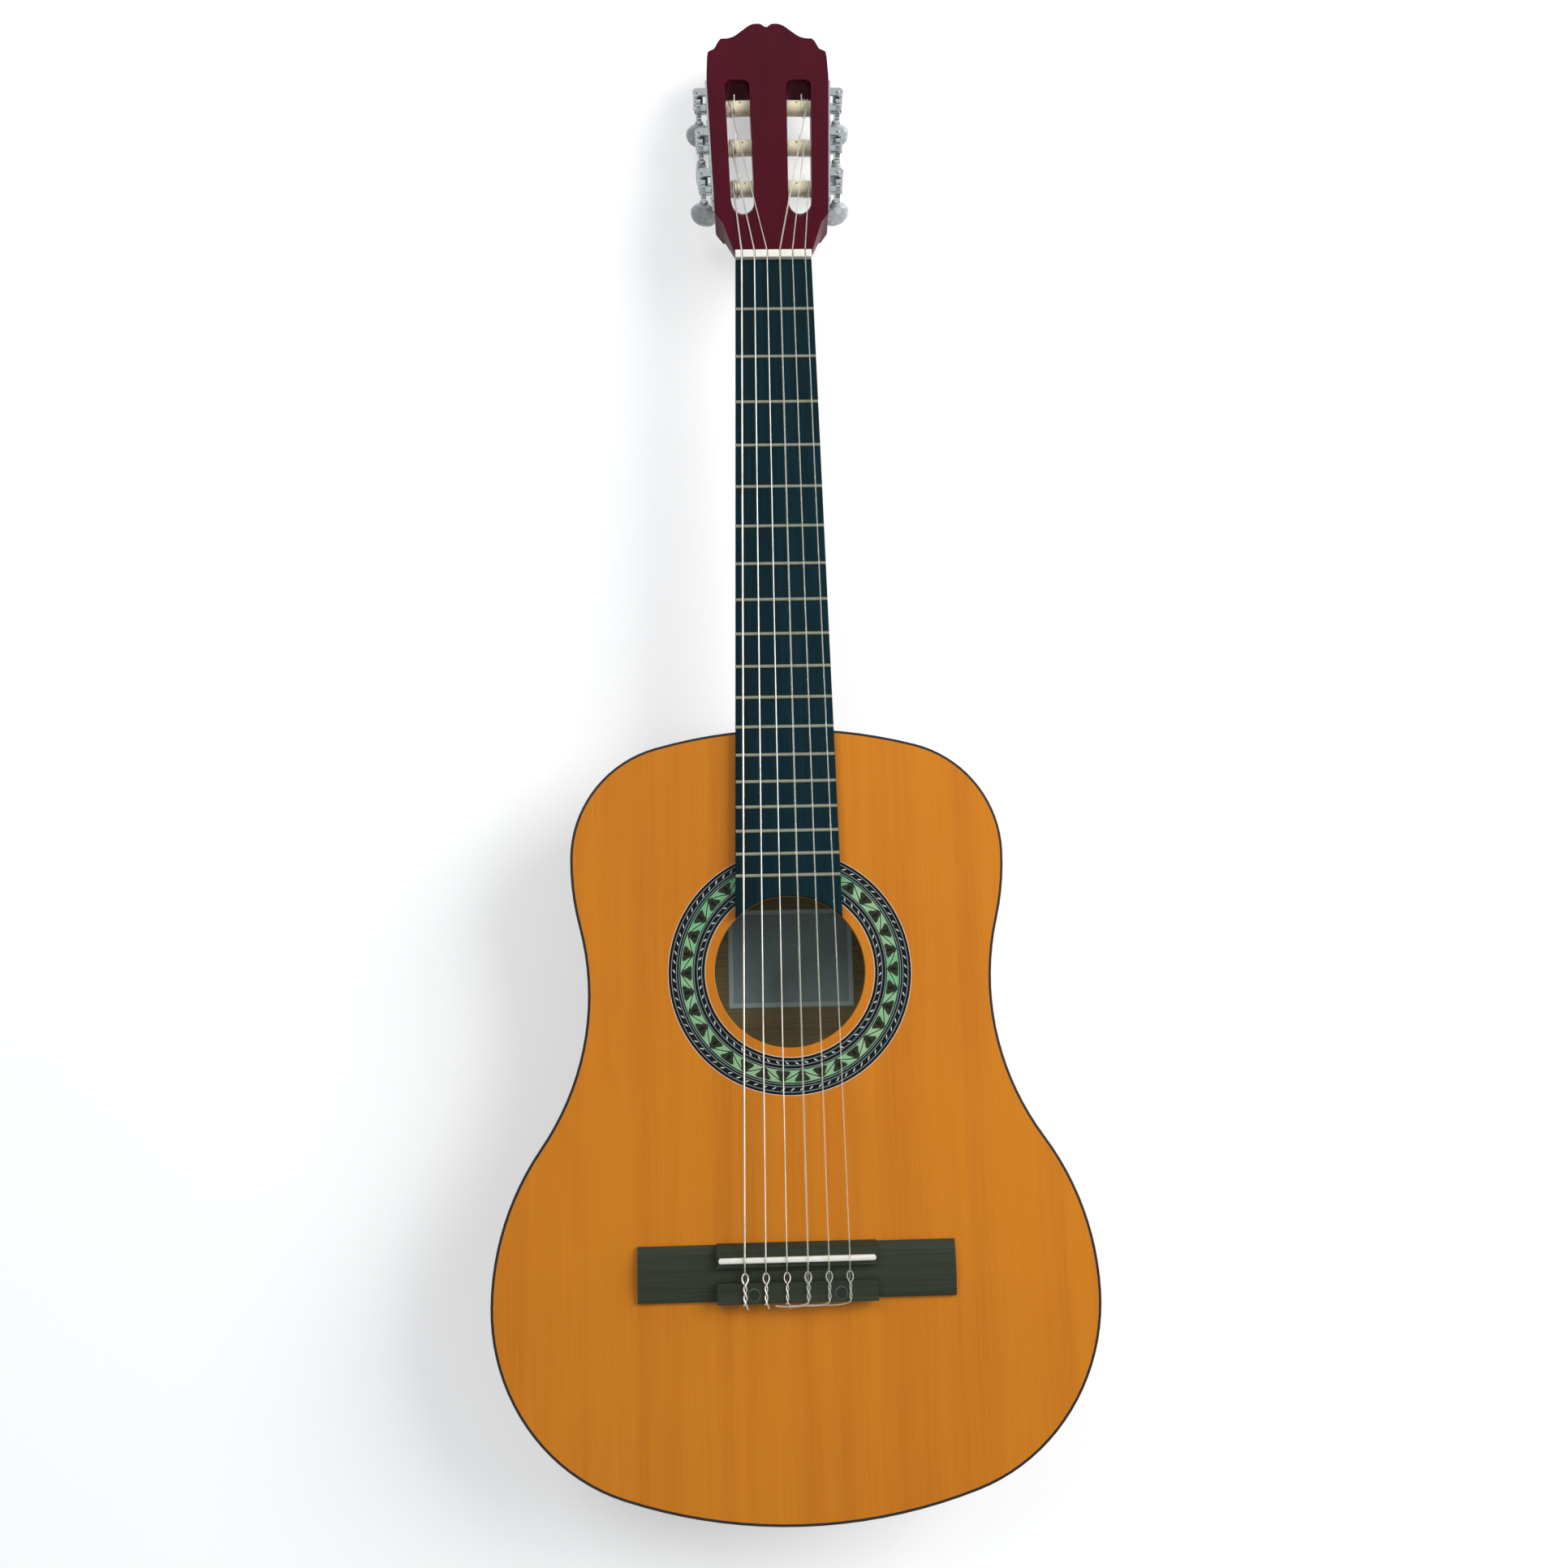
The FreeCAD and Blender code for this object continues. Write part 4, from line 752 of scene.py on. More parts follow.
@dataclass
class Body:
    """Hollow body: soundboard, back, sides, edgings and everything glued inside."""

    shop: Workshop
    edging_round: float = 0.6 * MM
    rim_round: float = 0.4 * MM
    soundhole_radius: float = 42.6 * MM
    rim_reach: float = 1.0 * MM
    middle: Vector = Vector((0, 0.06, 0))
    level: float = 0.9
    facing_out: float = 0.3
    facing_in: float = -0.2
    facing_inner: float = 0.5

    def outward(self, face: bmesh.types.BMFace) -> float:
        """How far a face looks away from the body's middle, seen from above."""
        away = face.calc_center_median() - self.middle
        return face.normal.xy.dot(away.xy.normalized())

    def outer_corner(self, edge: bmesh.types.BMEdge, up: float) -> bool:
        """Whether an edge is the outermost corner of an edging, above (1) or below (-1)."""
        first, second = edge.link_faces
        return (max(first.normal.z * up, second.normal.z * up) > self.level
                and max(self.outward(first), self.outward(second)) > self.facing_out)

    def hole_rim(self, edge: bmesh.types.BMEdge) -> bool:
        """Whether an edge is on the rim of the soundhole."""
        middle = (edge.verts[0].co + edge.verts[1].co) / 2 - SOUNDHOLE
        return middle.xy.length < self.soundhole_radius + self.rim_reach

    def build(self) -> None:
        """Dresses the body's pieces."""
        refine = self.shop.refine
        refine("top_plate", Finish.SOUNDBOARD, self.rim_round,
               chosen=self.hole_rim, bare=lambda face: face.normal.z < -self.facing_inner)
        refine("back_plate", Finish.BODY, 0.0,
               bare=lambda face: face.normal.z > self.facing_inner)
        for node in ("bass_side", "treble_side"):
            refine(node, Finish.SIDES, 0.0,
                   bare=lambda face: self.outward(face) < self.facing_in)
        for node, up in (("top_binding", 1), ("back_binding", -1)):
            refine(node, Finish.EDGING, self.edging_round,
                   chosen=partial(self.outer_corner, up=up))
        self.shop.dress("rosette", Finish.INLAY)
        self.shop.dress("maker_label", Finish.PAPER)
        for node in ("neck_block", "tail_block", "top_linings", "back_linings", "bridge_patch",
                     "top_cross_braces", "fan_braces", "back_braces", "soundhole_reinforcement"):
            self.shop.dress(node, Finish.INNER)


@dataclass
class Neck:
    """Neck, slotted head with its veneer, fingerboard, frets and nut."""

    shop: Workshop
    nut_y: float = 590.0 * MM
    nut_half: float = 23.5 * MM
    joint_y: float = 295.0 * MM
    joint_half: float = 28.5 * MM
    crease: float = 38.0
    heel_end: float = 400.0 * MM
    heel_top: float = 79.5 * MM
    heel_rings: tuple[tuple[float, float, float], ...] = (
        (3, 52, 99), (5.5, 51.8, 90.5), (8, 51.5, 82), (10.5, 51, 73.3), (13, 50.3, 65),
        (16, 49.2, 56), (18.5, 47.9, 49.3), (21, 46.3, 43.5), (25, 43.5, 36.6),
        (29, 40.9, 31.6), (35, 37.6, 26.8), (42, 34.6, 23.3), (50, 32.4, 21.3),
        (56, 31.1, 20.4), (62, 30.2, 19.8))
    heel_root: float = -12.0 * MM
    heel_bulge: float = 0.16
    body_face: float = -0.9 * MM
    cap_height: float = 20.05 * MM
    cap_slope: float = 0.203
    flank_steps: int = 14
    skin_inset: float = 0.03 * MM
    core_inset: float = 0.4 * MM

    def build(self) -> None:
        """Softens and dresses the pieces."""
        refine = self.shop.refine
        self.round_heel(refine("neck", Finish.NECK, 0.0, crease=self.crease).data)
        refine("headstock", Finish.NECK, 0.35 * MM)
        refine("head_veneer", Finish.NECK, 0.3 * MM)
        refine("fingerboard", Finish.BOARD, 0.35 * MM, fold=50.0)
        refine("frets", Finish.FRET, 0.0, crease=40.0)
        refine("nut", Finish.BONE, 0.35 * MM, fold=40.0)

    def half_width(self, y: float) -> float:
        """Half of the fingerboard's width at a distance from the saddle."""
        slope = (self.joint_half - self.nut_half) / (self.nut_y - self.joint_y)
        return self.nut_half + slope * (self.nut_y - y)

    def heel_ring(self, level: float, width: float, reach: float) -> list[Vector]:
        """Level line round the heel: two bulged flanks that meet in a nose.

        Args:
            level: Depth under the top of the neck in millimetres.
            width: Width at the foot in millimetres.
            reach: Distance of the nose from the body in millimetres.

        Returns:
            Points from the right foot by the nose to the left foot.
        """
        foot = Vector((width / 2 * MM, self.heel_root, 0))
        chord = Vector((0, reach * MM, 0)) - foot
        outward = Vector((chord.y, -chord.x, 0)).normalized()
        rise = chord.length * self.heel_bulge
        radius = (chord.length ** 2 / 4 + rise ** 2) / (2 * rise)
        turn = math.asin(chord.length / 2 / radius)
        half = []
        for step in range(self.flank_steps + 1):
            angle = turn * (2 * step / self.flank_steps - 1)
            point = (foot + chord / 2 + chord.normalized() * radius * math.sin(angle)
                     + outward * (radius * math.cos(angle) - radius + rise))
            y = self.joint_y + max(point.y, self.body_face)
            x = min(max(point.x, 0), self.half_width(y) - self.skin_inset)
            half.append(SOUNDBOARD @ Vector((x, y, -level * MM)))
        return half + [Vector((-p.x, p.y, p.z)) for p in reversed(half[:-1])]

    def round_heel(self, neck: bpy.types.Mesh) -> None:
        """Lays a smooth skin over the heel, flush with the fingerboard's edges.

        Args:
            neck: Mesh of the neck, in place.
        """
        whole = bmesh.new()
        whole.from_mesh(neck)
        for vert in whole.verts:
            edge = self.half_width(vert.co.y) - self.core_inset
            low = vert.co.y < self.heel_end and vert.co.z < self.heel_top
            if low and abs(vert.co.x) > edge:
                vert.co.x = math.copysign(edge, vert.co.x)
        skin = bmesh.new()
        lines = [self.heel_ring(*ring) for ring in self.heel_rings]
        for point in lines[-1]:
            point.z = self.cap_height + self.cap_slope * (point.y - self.joint_y)
        rings = [[skin.verts.new(point) for point in line] for line in lines]
        for above, below in zip(rings, rings[1:]):
            for k in range(len(above)):
                skin.faces.new((above[k - 1], above[k], below[k], below[k - 1]))
        skin.faces.new(rings[0])
        skin.faces.new(rings[-1])
        bmesh.ops.recalc_face_normals(skin, faces=skin.faces)
        merge(whole, skin)
        whole.to_mesh(neck)
        whole.free()
        neck.shade_smooth()
        neck.set_sharp_from_angle(angle=math.radians(self.crease))


@dataclass
class Bridge:
    """Tie bridge with its saddle and the two capped bolts."""

    shop: Workshop
    bolt_profile: Profile = ((0, 8.78), (3.2, 8.78), (3.4, 8.6), (3.4, 6.8), (2.0, 6.8),
                             (2.0, -10.3), (1.7, -10.6), (0, -10.6))
    nut_profile: Profile = ((0, -4.6), (3.8, -4.6), (4.0, -4.8), (4.0, -7.6), (3.8, -7.8),
                            (0, -7.8))

    def build(self) -> None:
        """Softens and dresses the pieces."""
        self.shop.refine("bridge", Finish.BRIDGE, 0.4 * MM)
        self.shop.refine("saddle", Finish.BONE, 0.25 * MM)
        bolts = bmesh.new()
        for place in BOLTS:
            bolt = bmesh.new()
            lathe(bolt, self.bolt_profile, 40)
            lathe(bolt, self.nut_profile, 6)
            bolt.transform(SOUNDBOARD @ Matrix.Translation(place))
            merge(bolts, bolt)
        self.shop.piece("bridge_bolts_turned", bolts, Finish.CAP, FIXED, ("bridge_bolts",), 35.0)


@dataclass
class TunerPlace:
    """Place of one tuning machine, as the CAD model sets it out."""

    number: int
    spacing: float = 35.0 * MM
    first: float = 62.0 * MM
    depth: float = 7.5 * MM
    knee: float = 33.5 * MM
    knee_half: float = 35.75 * MM
    side_end: float = 151.0 * MM
    side_end_half: float = 40.4 * MM
    slot_low: float = 37.5 * MM
    slot_high: float = 148.0 * MM
    slot_outer_low: float = 25.4 * MM
    slot_outer_high: float = 28.5 * MM
    worm_offset: float = 6.4 * MM
    axis_distance: float = 8.75 * MM

    @property
    def side(self) -> Side:
        """Side of the head that the machine is on."""
        return Side.TREBLE if self.number <= PER_SIDE else Side.BASS

    @property
    def place(self) -> int:
        """Count from the nut: 0, 1 or 2."""
        return self.number - 1 if self.number <= PER_SIDE else STRINGS - self.number

    @property
    def slope(self) -> float:
        """Splay of the head's side."""
        return (self.side_end_half - self.knee_half) / (self.side_end - self.knee)

    def seat(self) -> Matrix:
        """Frame on the roller's axis: X towards the crest, Y up, Z towards the treble side."""
        sign = self.side.value
        splay = math.atan(self.slope)
        half = self.knee_half + self.slope * (self.first - self.knee)
        along = Vector((sign * math.sin(splay), math.cos(splay), 0))
        across = Vector((math.cos(splay), -sign * math.sin(splay), 0))
        turn = Matrix((along, (0, 0, 1), across)).transposed().to_4x4()
        return (HEAD @ Matrix.Translation((sign * half, self.first, -self.depth)) @ turn
                @ Matrix.Translation((self.place * self.spacing, 0, 0)))

    def worm_seat(self) -> Matrix:
        """Frame of the worm: Z along its axis, out of the head's face."""
        shift = Vector((self.axis_distance, 0, self.side.value * self.worm_offset))
        return (self.seat() @ Matrix.Translation(shift)
                @ Matrix.Rotation(-math.pi / 2, 4, "X"))

    def wall(self) -> float:
        """Distance from the head's side in to the slot."""
        along = self.first + self.place * self.spacing
        share = (along - self.slot_low) / (self.slot_high - self.slot_low)
        outer = self.slot_outer_low + share * (self.slot_outer_high - self.slot_outer_low)
        return self.knee_half + self.slope * (along - self.knee) - outer


@dataclass
class TuningMachine:
    """Button, worm, gear and string roller of one string."""

    shop: Workshop
    number: int
    button_turns: tuple[float, ...] = (110.0, 0.0, 95.0, 82.0, 0.0, 74.0)
    button_top: float = -18.5
    button_rings: tuple[tuple[float, float, float], ...] = (
        (0.0, 2.4, 2.4), (0.25, 3.0, 3.0), (2.0, 3.0, 2.9), (3.0, 4.4, 3.0), (4.6, 6.7, 3.4),
        (7.0, 8.8, 3.9), (10.0, 9.3, 4.15), (13.5, 8.9, 4.2), (16.4, 7.2, 3.9), (18.2, 5.0, 3.0),
        (19.0, 2.6, 1.7))
    button_squareness: float = 2.6
    roller_profile: Profile = ((0, -30), (4.6, -30), (5, -29.6), (5, -0.7), (4.6, -0.3),
                               (2, -0.3), (2, 1.35), (0, 1.35))
    square_end: Profile = ((0, 1.3), (2, 1.3), (2, 7.9), (0, 7.9))
    hole_radius: float = 0.8
    hole_length: float = 14.0
    hole_from_wall: float = 9.5
    thread_root: float = 1.83
    thread_sink: float = 0.1
    thread_middle: float = 2.75
    thread_tip: float = 3.37
    thread_pitch: float = 2 * math.pi * 6 / 14
    thread_share: float = 0.34
    flank_angle: float = 20.0
    thread_turns: float = 3.5
    thread_steps: int = 24

    def build(self) -> None:
        """Builds the machine's pieces."""
        spot = TunerPlace(self.number)
        self.button(spot)
        self.worm(spot)
        self.shop.refine("gear_%d" % self.number, Finish.HARDWARE, 0.15 * MM,
                         "roller_shaft_%d" % self.number, steps=2, fold=30.0, crease=50.0)
        self.roller(spot)

    def roller(self, spot: TunerPlace) -> None:
        """Turns the roller with its neck and square end, and bores the string's hole."""
        mesh = bmesh.new()
        lathe(mesh, self.roller_profile, 48)
        lathe(mesh, self.square_end, 4)
        hole = bmesh.new()
        bmesh.ops.create_cone(hole, cap_ends=True, segments=20, radius1=self.hole_radius * MM,
                              radius2=self.hole_radius * MM, depth=self.hole_length * MM)
        place = -(spot.wall() / MM + self.hole_from_wall)
        hole.transform(Matrix.Translation((0, 0, place * MM))
                       @ Matrix.Rotation(math.pi / 2, 4, "X"))
        data = bored(baked("roller", mesh), baked("hole", hole))
        data.transform(spot.seat() @ Matrix.Diagonal((1, 1, spot.side.value, 1)))
        if spot.side is Side.BASS:
            data.flip_normals()
        self.shop.adopt("roller_%d_turned" % self.number, data, Finish.ROLLER,
                        "roller_shaft_%d" % self.number, ("roller_%d" % self.number,), 35.0)

    def button(self, spot: TunerPlace) -> None:
        """Makes the flat pearly button from rings of changing width."""
        mesh = bmesh.new()
        bmesh.ops.create_circle(mesh, cap_ends=False, segments=28, radius=1.0)
        power = self.button_squareness
        for vert in mesh.verts:
            vert.co *= (abs(vert.co.x) ** power + abs(vert.co.y) ** power) ** (-1 / power)
        ring = list(mesh.edges)
        last = Matrix.Identity(4)
        for index, (drop, wide, thin) in enumerate(self.button_rings):
            if index:
                made = bmesh.ops.extrude_edge_only(mesh, edges=ring)["geom"]
                ring = [item for item in made if isinstance(item, bmesh.types.BMEdge)]
            verts = {vert for edge in ring for vert in edge.verts}
            here = (Matrix.Translation((0, 0, (self.button_top - drop) * MM))
                    @ Matrix.Diagonal((wide * MM, thin * MM, 1, 1)))
            bmesh.ops.transform(mesh, matrix=here @ last.inverted(), verts=list(verts))
            last = here
        bmesh.ops.holes_fill(mesh, edges=[e for e in mesh.edges if e.is_boundary], sides=0)
        bmesh.ops.recalc_face_normals(mesh, faces=mesh.faces)
        turn = Matrix.Rotation(math.radians(self.button_turns[self.number - 1]), 4, "Z")
        mesh.transform(spot.worm_seat() @ turn)
        item = self.shop.piece("button_%d_rounded" % self.number, mesh, Finish.BUTTON,
                               "worm_shaft_%d" % self.number, ("button_%d" % self.number,), 60.0)
        smooth = item.modifiers.new("smooth", "SUBSURF")
        smooth.levels = smooth.render_levels = 2

    def worm(self, spot: TunerPlace) -> None:
        """Turns the worm's shaft and winds its thread round it."""
        mesh = bmesh.new()
        root, tip, pitch = self.thread_root, self.thread_tip, self.thread_pitch
        lathe(mesh, ((0, 7.6), (1.25, 7.6), (1.4, 7.4), (1.4, 5.5), (root, 5.5), (root, -5.5),
                     (1.8, -5.5), (1.8, -6.9), (2.6, -6.9), (2.8, -7.1), (2.8, -8.3), (2.6, -8.5),
                     (1.8, -8.5), (1.8, -18.6), (0, -18.6)))
        half = pitch * self.thread_share / 2
        lean = math.tan(math.radians(self.flank_angle))
        low = half + (self.thread_middle - root) * lean
        high = half - (tip - self.thread_middle) * lean
        first = -self.thread_turns / 2 * pitch
        sunk = root - self.thread_sink
        corners = [mesh.verts.new((radius * MM, 0, (first + shift) * MM))
                   for radius, shift in ((sunk, -low), (tip, -high), (tip, high), (sunk, low))]
        face = mesh.faces.new(corners)
        start = Matrix.Rotation(math.pi * (1 - self.thread_turns), 3, "Z")
        bmesh.ops.rotate(mesh, cent=(0, 0, 0), matrix=start, verts=corners)
        edges = list(face.edges)
        before = set(mesh.faces)
        bmesh.ops.spin(mesh, geom=corners + edges + [face], cent=(0, 0, 0), axis=(0, 0, 1),
                       dvec=Vector((0, 0, pitch * MM / self.thread_steps)),
                       angle=2 * math.pi * self.thread_turns,
                       steps=int(self.thread_turns * self.thread_steps))
        bmesh.ops.recalc_face_normals(mesh, faces=[f for f in mesh.faces if f not in before]
                                      + [face])
        mesh.transform(spot.worm_seat())
        self.shop.piece("worm_%d_threaded" % self.number, mesh, Finish.HARDWARE,
                        "worm_shaft_%d" % self.number, ("worm_%d" % self.number,), 30.0)


@dataclass
class TunerPlate:
    """Plate of three machines on one side of the head, with its domed screws."""

    shop: Workshop
    side: Side
    screw_places: tuple[float, ...] = (-8.6, 22.0, 57.0, 86.2)
    screw_profile: Profile = ((0, -7.5), (0.4, -6.5), (1.1, -4.0), (1.1, 1.2), (2.3, 1.2),
                              (2.3, 1.45), (1.9, 1.85), (1.15, 2.1), (0.9, 1.65), (0, 1.5))

    def build(self) -> None:
        """Builds the plate."""
        self.shop.refine(self.side.name.lower() + "_tuner_plate", Finish.HARDWARE, 0.2 * MM,
                         steps=2, crease=50.0)

    def screws(self, mesh: bmesh.types.BMesh) -> None:
        """Adds this plate's screw heads to a mesh."""
        treble = self.side is Side.TREBLE
        seat = TunerPlace(1 if treble else STRINGS).seat()
        facing = Matrix.Rotation(0 if treble else math.pi, 4, "X")
        for place in self.screw_places:
            head = bmesh.new()
            lathe(head, self.screw_profile, 24)
            head.transform(seat @ Matrix.Translation((place * MM, 0, 0)) @ facing)
            merge(mesh, head)


@dataclass
class InstrumentString:
    """One string, from its knot on the bridge to its winding on the roller."""

    shop: Workshop
    number: int
    diameters: tuple[float, ...] = (0.71, 0.82, 1.02, 0.74, 0.89, 1.09)
    landing_insets: tuple[float, ...] = (1.6, 4.2, 2.2, 2.4, 1.7, 1.7)
    nut_span: float = 39.1
    saddle_span: float = 56.7
    nut_height: float = 7.5
    saddle_top: float = 10.8
    block_top: float = 8.8
    block_front: float = -11.6
    block_rear: float = -22.5
    hole_height: float = 4.9
    roller_radius: float = 5.0
    winding_gap: float = 0.9
    turns: int = 2
    turn_points: int = 12
    twist_points: int = 10
    nut_crest: float = 592.0
    tails: tuple[float, ...] = (24.0, 21.0, 18.0)

    @property
    def diameter(self) -> float:
        """Thickness in millimetres."""
        return self.diameters[self.number - 1]

    def across(self, span: float) -> float:
        """Distance from the centre line of a row that is a span wide."""
        return (0.5 - (self.number - 1) / (STRINGS - 1)) * span

    def strand(self, half: float) -> list[Vector]:
        """One strand of the twist on the tie block, from the rear to the front.

        Args:
            half: 1 for the strand that starts on the treble side, or -1 for the other.

        Returns:
            Its points, in millimetres.
        """
        x = self.across(self.saddle_span)
        thick = self.diameter
        top = self.block_top + thick * 1.1
        low, high = self.block_rear + 1.0, self.block_front - 0.8
        points = []
        for step in range(self.twist_points + 1):
            share = step / self.twist_points
            angle = (0.5 + 2 * share) * math.pi
            reach = half * thick * 0.56
            wide = 1.0 + 0.35 * abs(math.cos(angle))
            points.append(Vector((x + reach * wide * math.cos(angle), low + share * (high - low),
                                  top + reach * math.sin(angle))))
        return points

    def knot(self) -> list[Vector]:
        """Route of the knot on the tie block, from its cut end to the hole, in millimetres."""
        def route(*places: tuple[float, float, float]) -> list[Vector]:
            """Points given by their offsets to the side, and their Y and Z."""
            return [Vector((self.across(self.saddle_span) + side, y, z)) for side, y, z in places]

        thick = self.diameter
        block = self.block_top
        top = block + thick * 1.1
        front, rear, low = self.block_front, self.block_rear, self.hole_height
        if self.number <= PER_SIDE:
            tail = self.tails[self.number - 1]
            start = route((-tail, rear - 1.4, top - 2.2),
                          (-tail * 0.66, rear - 0.9 - thick, top - 1.4),
                          (-tail * 0.3, rear - 1.7, top - 1.0), (-1.2, rear - 0.6, top - 0.3))
        else:
            start = route((1.3, rear - 2.4, top - 0.9), (0.8, rear - 0.9, top - 0.1))
        loop = route((1.1, front + 0.3, top), (1.75, front + 2.0, top - 0.6),
                     (1.4, front + 4.0, 7.9), (0, front + 4.9, 7.0), (-1.4, front + 4.0, 7.9),
                     (-1.75, front + 2.0, top - 0.6), (-1.1, front + 0.3, top))
        hole = route((-0.6, rear - 0.1, block + thick * 0.6),
                     (-0.9, rear - thick * 1.1, block - 0.5),
                     (-0.2, rear - thick * 1.1, low + 0.4), (0, rear + 0.6, low),
                     (0, rear + 3, low), (0, front - 1, low), (0, front + 0.6, low),
                     (0, front + 2.2, low + 0.9))
        return start + self.strand(1.0) + loop + self.strand(-1.0)[::-1] + hole

    def run(self) -> list[Vector]:
        """Route over the saddle and the nut, in millimetres."""
        x0, x1 = self.across(self.saddle_span), self.across(self.nut_span)
        lift = self.diameter / 2
        saddle = Vector((x0, -0.4, self.saddle_top + lift))
        nut = Vector((x1, self.nut_crest, self.nut_height + lift))
        way = (nut - saddle).normalized()
        return [Vector((x0, -2.2, self.saddle_top + lift - 1.0)), saddle, saddle + way * 2,
                saddle + way * 30, nut - way * 30, nut - way * 3, nut]

    def coil(self) -> list[Vector]:
        """Route of the winding on the roller, in the frame of the soundboard and millimetres."""
        spot = TunerPlace(self.number)
        seat = SOUNDBOARD.inverted() @ spot.seat()
        seat.translation *= 1 / MM
        nut_exit = Vector((self.across(self.nut_span), NUT_OUTER_Y / MM,
                           self.nut_height + self.diameter / 2))
        incoming = seat.inverted() @ nut_exit
        sign = spot.side.value
        radius = self.roller_radius + self.diameter / 2
        landing = -sign * (spot.wall() / MM + self.landing_insets[self.number - 1])
        start = math.atan2(incoming.y, incoming.x) - math.acos(
            radius / math.hypot(incoming.x, incoming.y))
        rate = -sign * (self.diameter + self.winding_gap) / (2 * math.pi)
        step = 2 * math.pi / self.turn_points
        spread = radius / ((1 + math.cos(step / 2)) / 2)
        touch = Vector((radius * math.cos(start), radius * math.sin(start), landing))
        way = (touch - incoming).normalized()
        points = [incoming, incoming + way * 3, touch - way * 6, touch - way * 1.5]
        for index in range(1, self.turns * self.turn_points + 1):
            turned = (index - 0.5) * step
            angle = start - turned
            points.append(Vector((spread * math.cos(angle), spread * math.sin(angle),
                                  landing + rate * turned)))
        end = points[-1] + (points[-1] - points[-2]).normalized() * 3.0
        points += [end, end + (points[-1] - points[-2]).normalized() * 2.5]
        return [seat @ point for point in points]

    def build(self) -> None:
        """Draws the string along its route."""
        route = self.knot() + self.run() + self.coil()
        curve = bpy.data.curves.new("string_route", "CURVE")
        curve.dimensions = "3D"
        curve.bevel_depth = self.diameter / 2 * MM
        curve.bevel_resolution = 3
        curve.use_fill_caps = True
        curve.resolution_u = 4
        spline = curve.splines.new("NURBS")
        spline.points.add(len(route) - 1)
        for point, spot in zip(spline.points, route):
            point.co = (*(SOUNDBOARD @ (spot * MM)), 1.0)
        spline.use_endpoint_u = True
        spline.order_u = 3
        holder = placed("string_route", curve)
        data = bpy.data.meshes.new_from_object(holder)
        bpy.data.objects.remove(holder)
        finish = Finish.PLAIN if self.number <= PER_SIDE else Finish.WOUND
        self.shop.adopt("string_%d_tied" % self.number, data, finish, FIXED,
                        ("string_%d" % self.number,), 60.0)


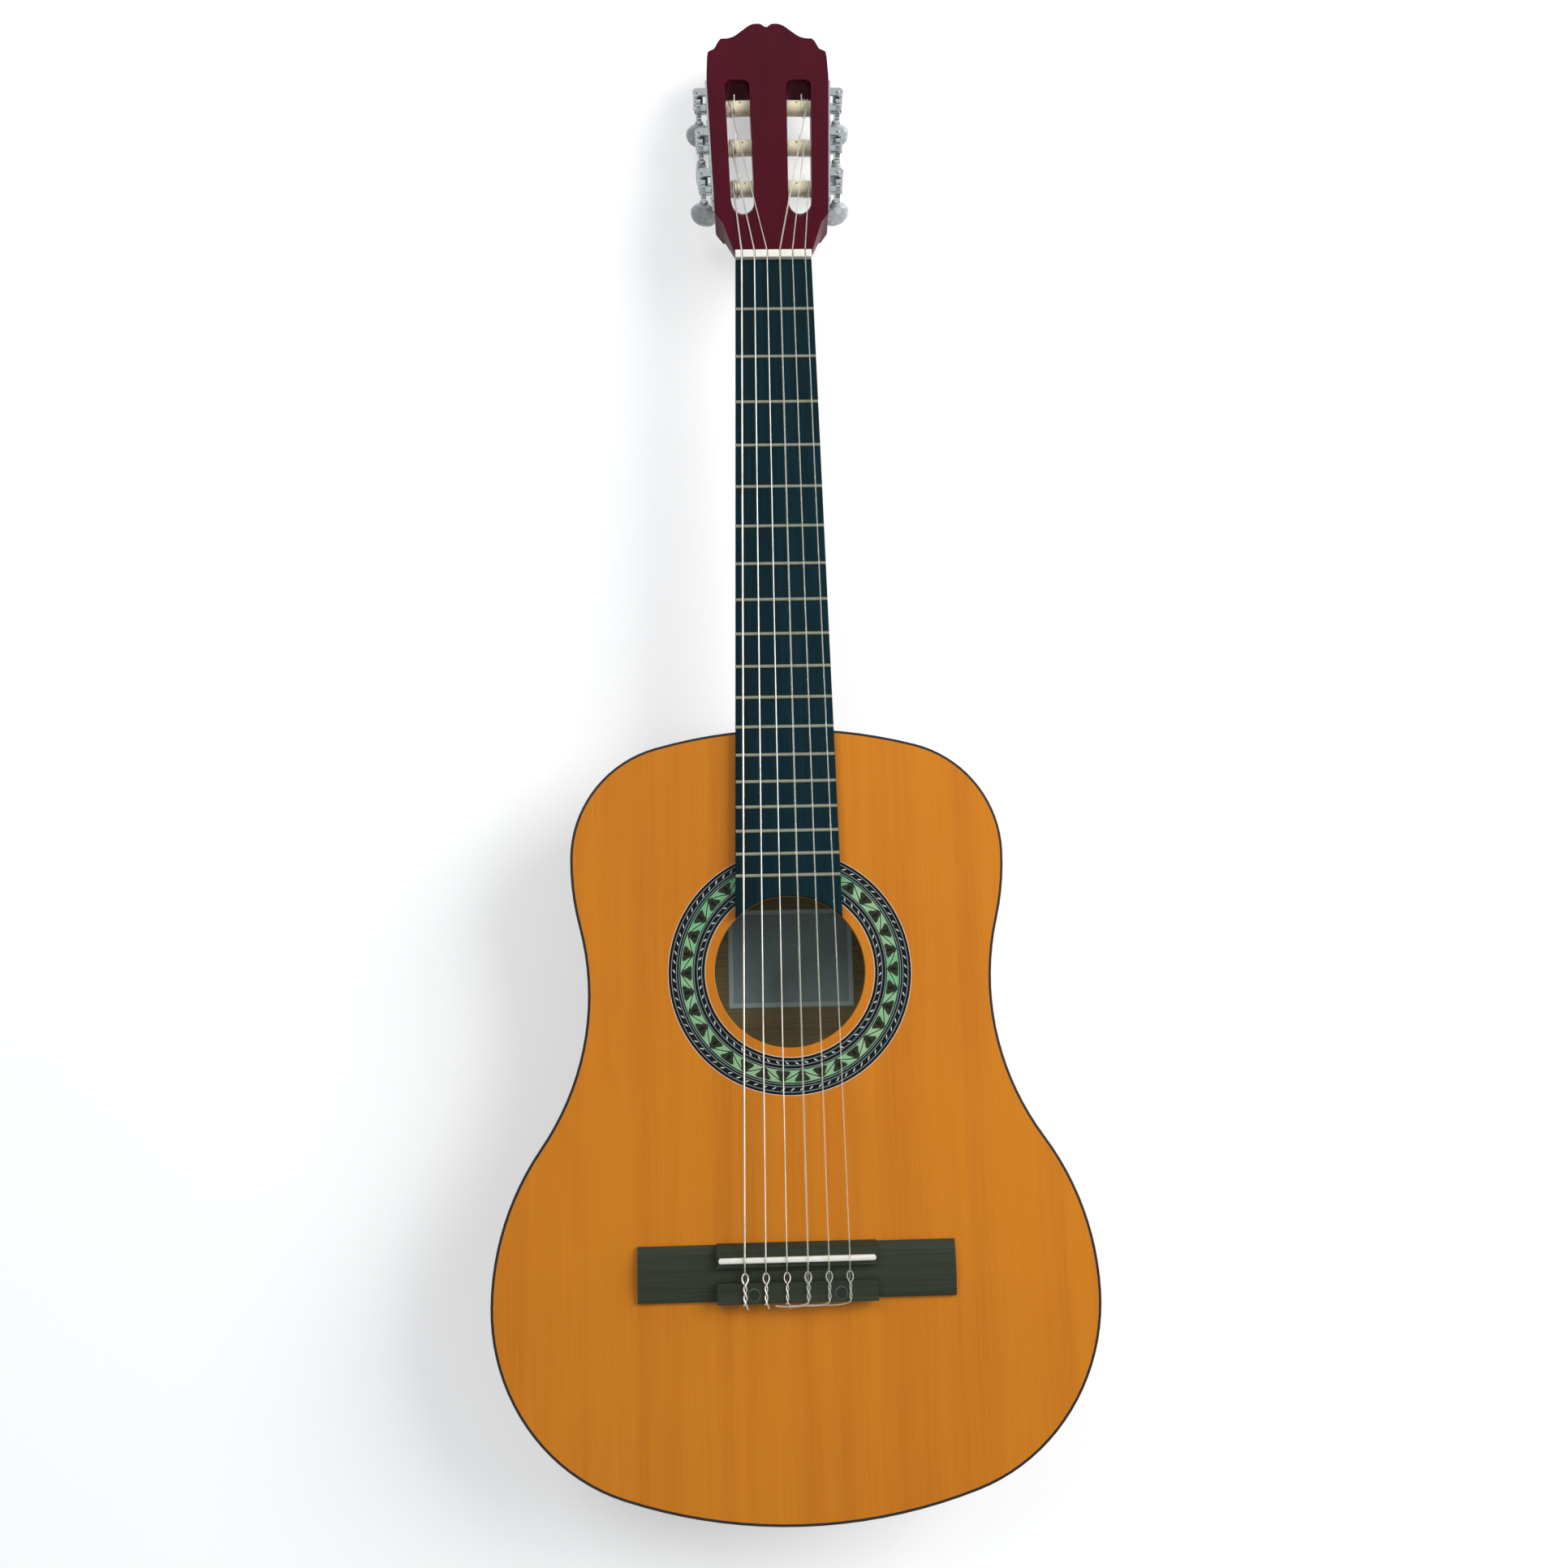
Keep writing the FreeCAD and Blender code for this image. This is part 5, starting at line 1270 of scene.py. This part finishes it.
@dataclass
class Studio:
    """Pale floor, soft lamps and the camera of the photograph's view."""

    camera_place: Vector = Vector((-23.8536, 121.9585, 786.3322)) * MM
    camera_rows: tuple[Sequence[float], ...] = (
        (0.9994201, -0.02307365, 0.02504132), (0.01831122, 0.9842096, 0.17605728),
        (-0.02870819, -0.17549665, 0.98406136))
    lens: float = 31.67
    floor_size: float = 12.0
    floor_fade: tuple[float, float] = (1.0, 3.0)
    glow: Colour = grey(0.35)
    white: Colour = grey(1.0)
    shade: Colour = grey(0.78)
    speck: Colour = grey(0.74)
    black: Colour = (0.0, 0.0, 0.0, 1.0)
    dim_side: Colour = (0.26, 0.32, 0.33, 1.0)
    middle: Colour = (0.1, 0.11, 0.12, 1.0)
    zenith: Colour = (0.5, 0.53, 0.55, 1.0)
    lamps: tuple[tuple[Any, ...], ...] = (
        ("window", (1.35, 0.75, 1.35), (1.2, 1.2), 31.0),
        ("skylight", (-1.0, 1.5, 2.0), (1.2, 1.2), 18.0),
        ("low_window", (2.0, 0.7, 0.35), (0.9, 0.5), 13.0))
    target: Vector = Vector((0, 0.3, 0))

    def build(self) -> None:
        """Sets up the stage."""
        self.camera()
        self.floor()
        self.world()
        for lamp in self.lamps:
            self.lamp(*lamp)

    def camera(self) -> None:
        """Places the camera."""
        data = bpy.data.cameras.new("camera")
        data.lens = self.lens
        data.sensor_width = 36.0
        data.clip_start = 0.01
        item = placed("camera", data)
        turn = Matrix(self.camera_rows).transposed().to_4x4()
        item.matrix_world = SOUNDBOARD @ Matrix.Translation(self.camera_place) @ turn
        bpy.context.scene.camera = item

    def floor(self) -> None:
        """Lays the floor, which looks white to the camera and keeps the shadow."""
        mesh = bmesh.new()
        bmesh.ops.create_grid(mesh, x_segments=1, y_segments=1, size=self.floor_size)
        data = baked("floor", mesh)
        shader = Shader("pale_floor")
        place = shader.position()
        x, y = shader.parts(place)[:2]
        glow = shader.blend(x.hypot(y).fade(*self.floor_fade), self.glow, self.white)
        specks = shader.noise(place, 30.0)
        shader.set({"Base Color": shader.blend(specks * 0.1, self.shade, self.speck),
                    "Roughness": 0.9,
                    "Specular IOR Level": 0.0,
                    "Emission Color": shader.blend(self.seen(shader), self.black, glow),
                    "Emission Strength": 1.0})
        data.materials.append(shader.material)
        item = placed("floor", data)
        item.location.z = -0.3 * MM

    def seen(self, shader: NodeMaker) -> Value:
        """1 where the camera sees it, straight or in metal and glass, and 0 for its light."""
        rays = [shader.node("LightPath", output="Is %s Ray" % kind)
                for kind in ("Camera", "Glossy", "Transmission")]
        return rays[0].at_least(rays[1]).at_least(rays[2])

    def world(self) -> None:
        """Sets the soft light from all round, over a white background."""
        world = bpy.data.worlds.new("studio")
        bpy.context.scene.world = world
        world.use_nodes = True
        sky = NodeMaker(world.node_tree)
        x, _, up = sky.parts(sky.node("TexCoord", output="Generated"))
        horizon = sky.blend(x.fade(-0.7, 0.7), self.dim_side, self.white)
        vault = sky.blend(up.fade(0.05, 0.45), horizon, self.middle)
        light = sky.blend(up.fade(0.6, 0.9), vault, self.zenith)
        back = world.node_tree.nodes["Background"]
        sky.feed(back.inputs["Color"], sky.blend(self.seen(sky), light, self.white))

    def lamp(self, name: str, place: Sequence[float], size: Sequence[float],
             power: float) -> None:
        """Adds a rectangular soft lamp aimed at the body.

        Args:
            name: Name of the lamp.
            place: Where it stands.
            size: Its width and height.
            power: Its power in watts.
        """
        data = bpy.data.lights.new(name, "AREA")
        data.shape = "RECTANGLE"
        data.size, data.size_y = size
        data.energy = power
        item = placed(name, data)
        item.location = place
        aim = self.target - Vector(place)
        item.rotation_euler = aim.to_track_quat("-Z", "Y").to_euler()


def main() -> None:
    """Builds the instrument's looks and the studio round it."""
    logging.basicConfig(level=logging.INFO, format="%(message)s")
    shop = Workshop()
    Body(shop).build()
    Neck(shop).build()
    Bridge(shop).build()
    heads = bmesh.new()
    for side in Side:
        plate = TunerPlate(shop, side)
        plate.build()
        plate.screws(heads)
    shop.piece("plate_screws_domed", heads, Finish.HARDWARE, FIXED, ("tuner_plate_screws",), 30.0)
    for number in range(1, STRINGS + 1):
        TuningMachine(shop, number).build()
        InstrumentString(shop, number).build()
    Studio().build()
    bpy.context.scene.view_settings.view_transform = "Standard"


if __name__ == "__main__":
    main()
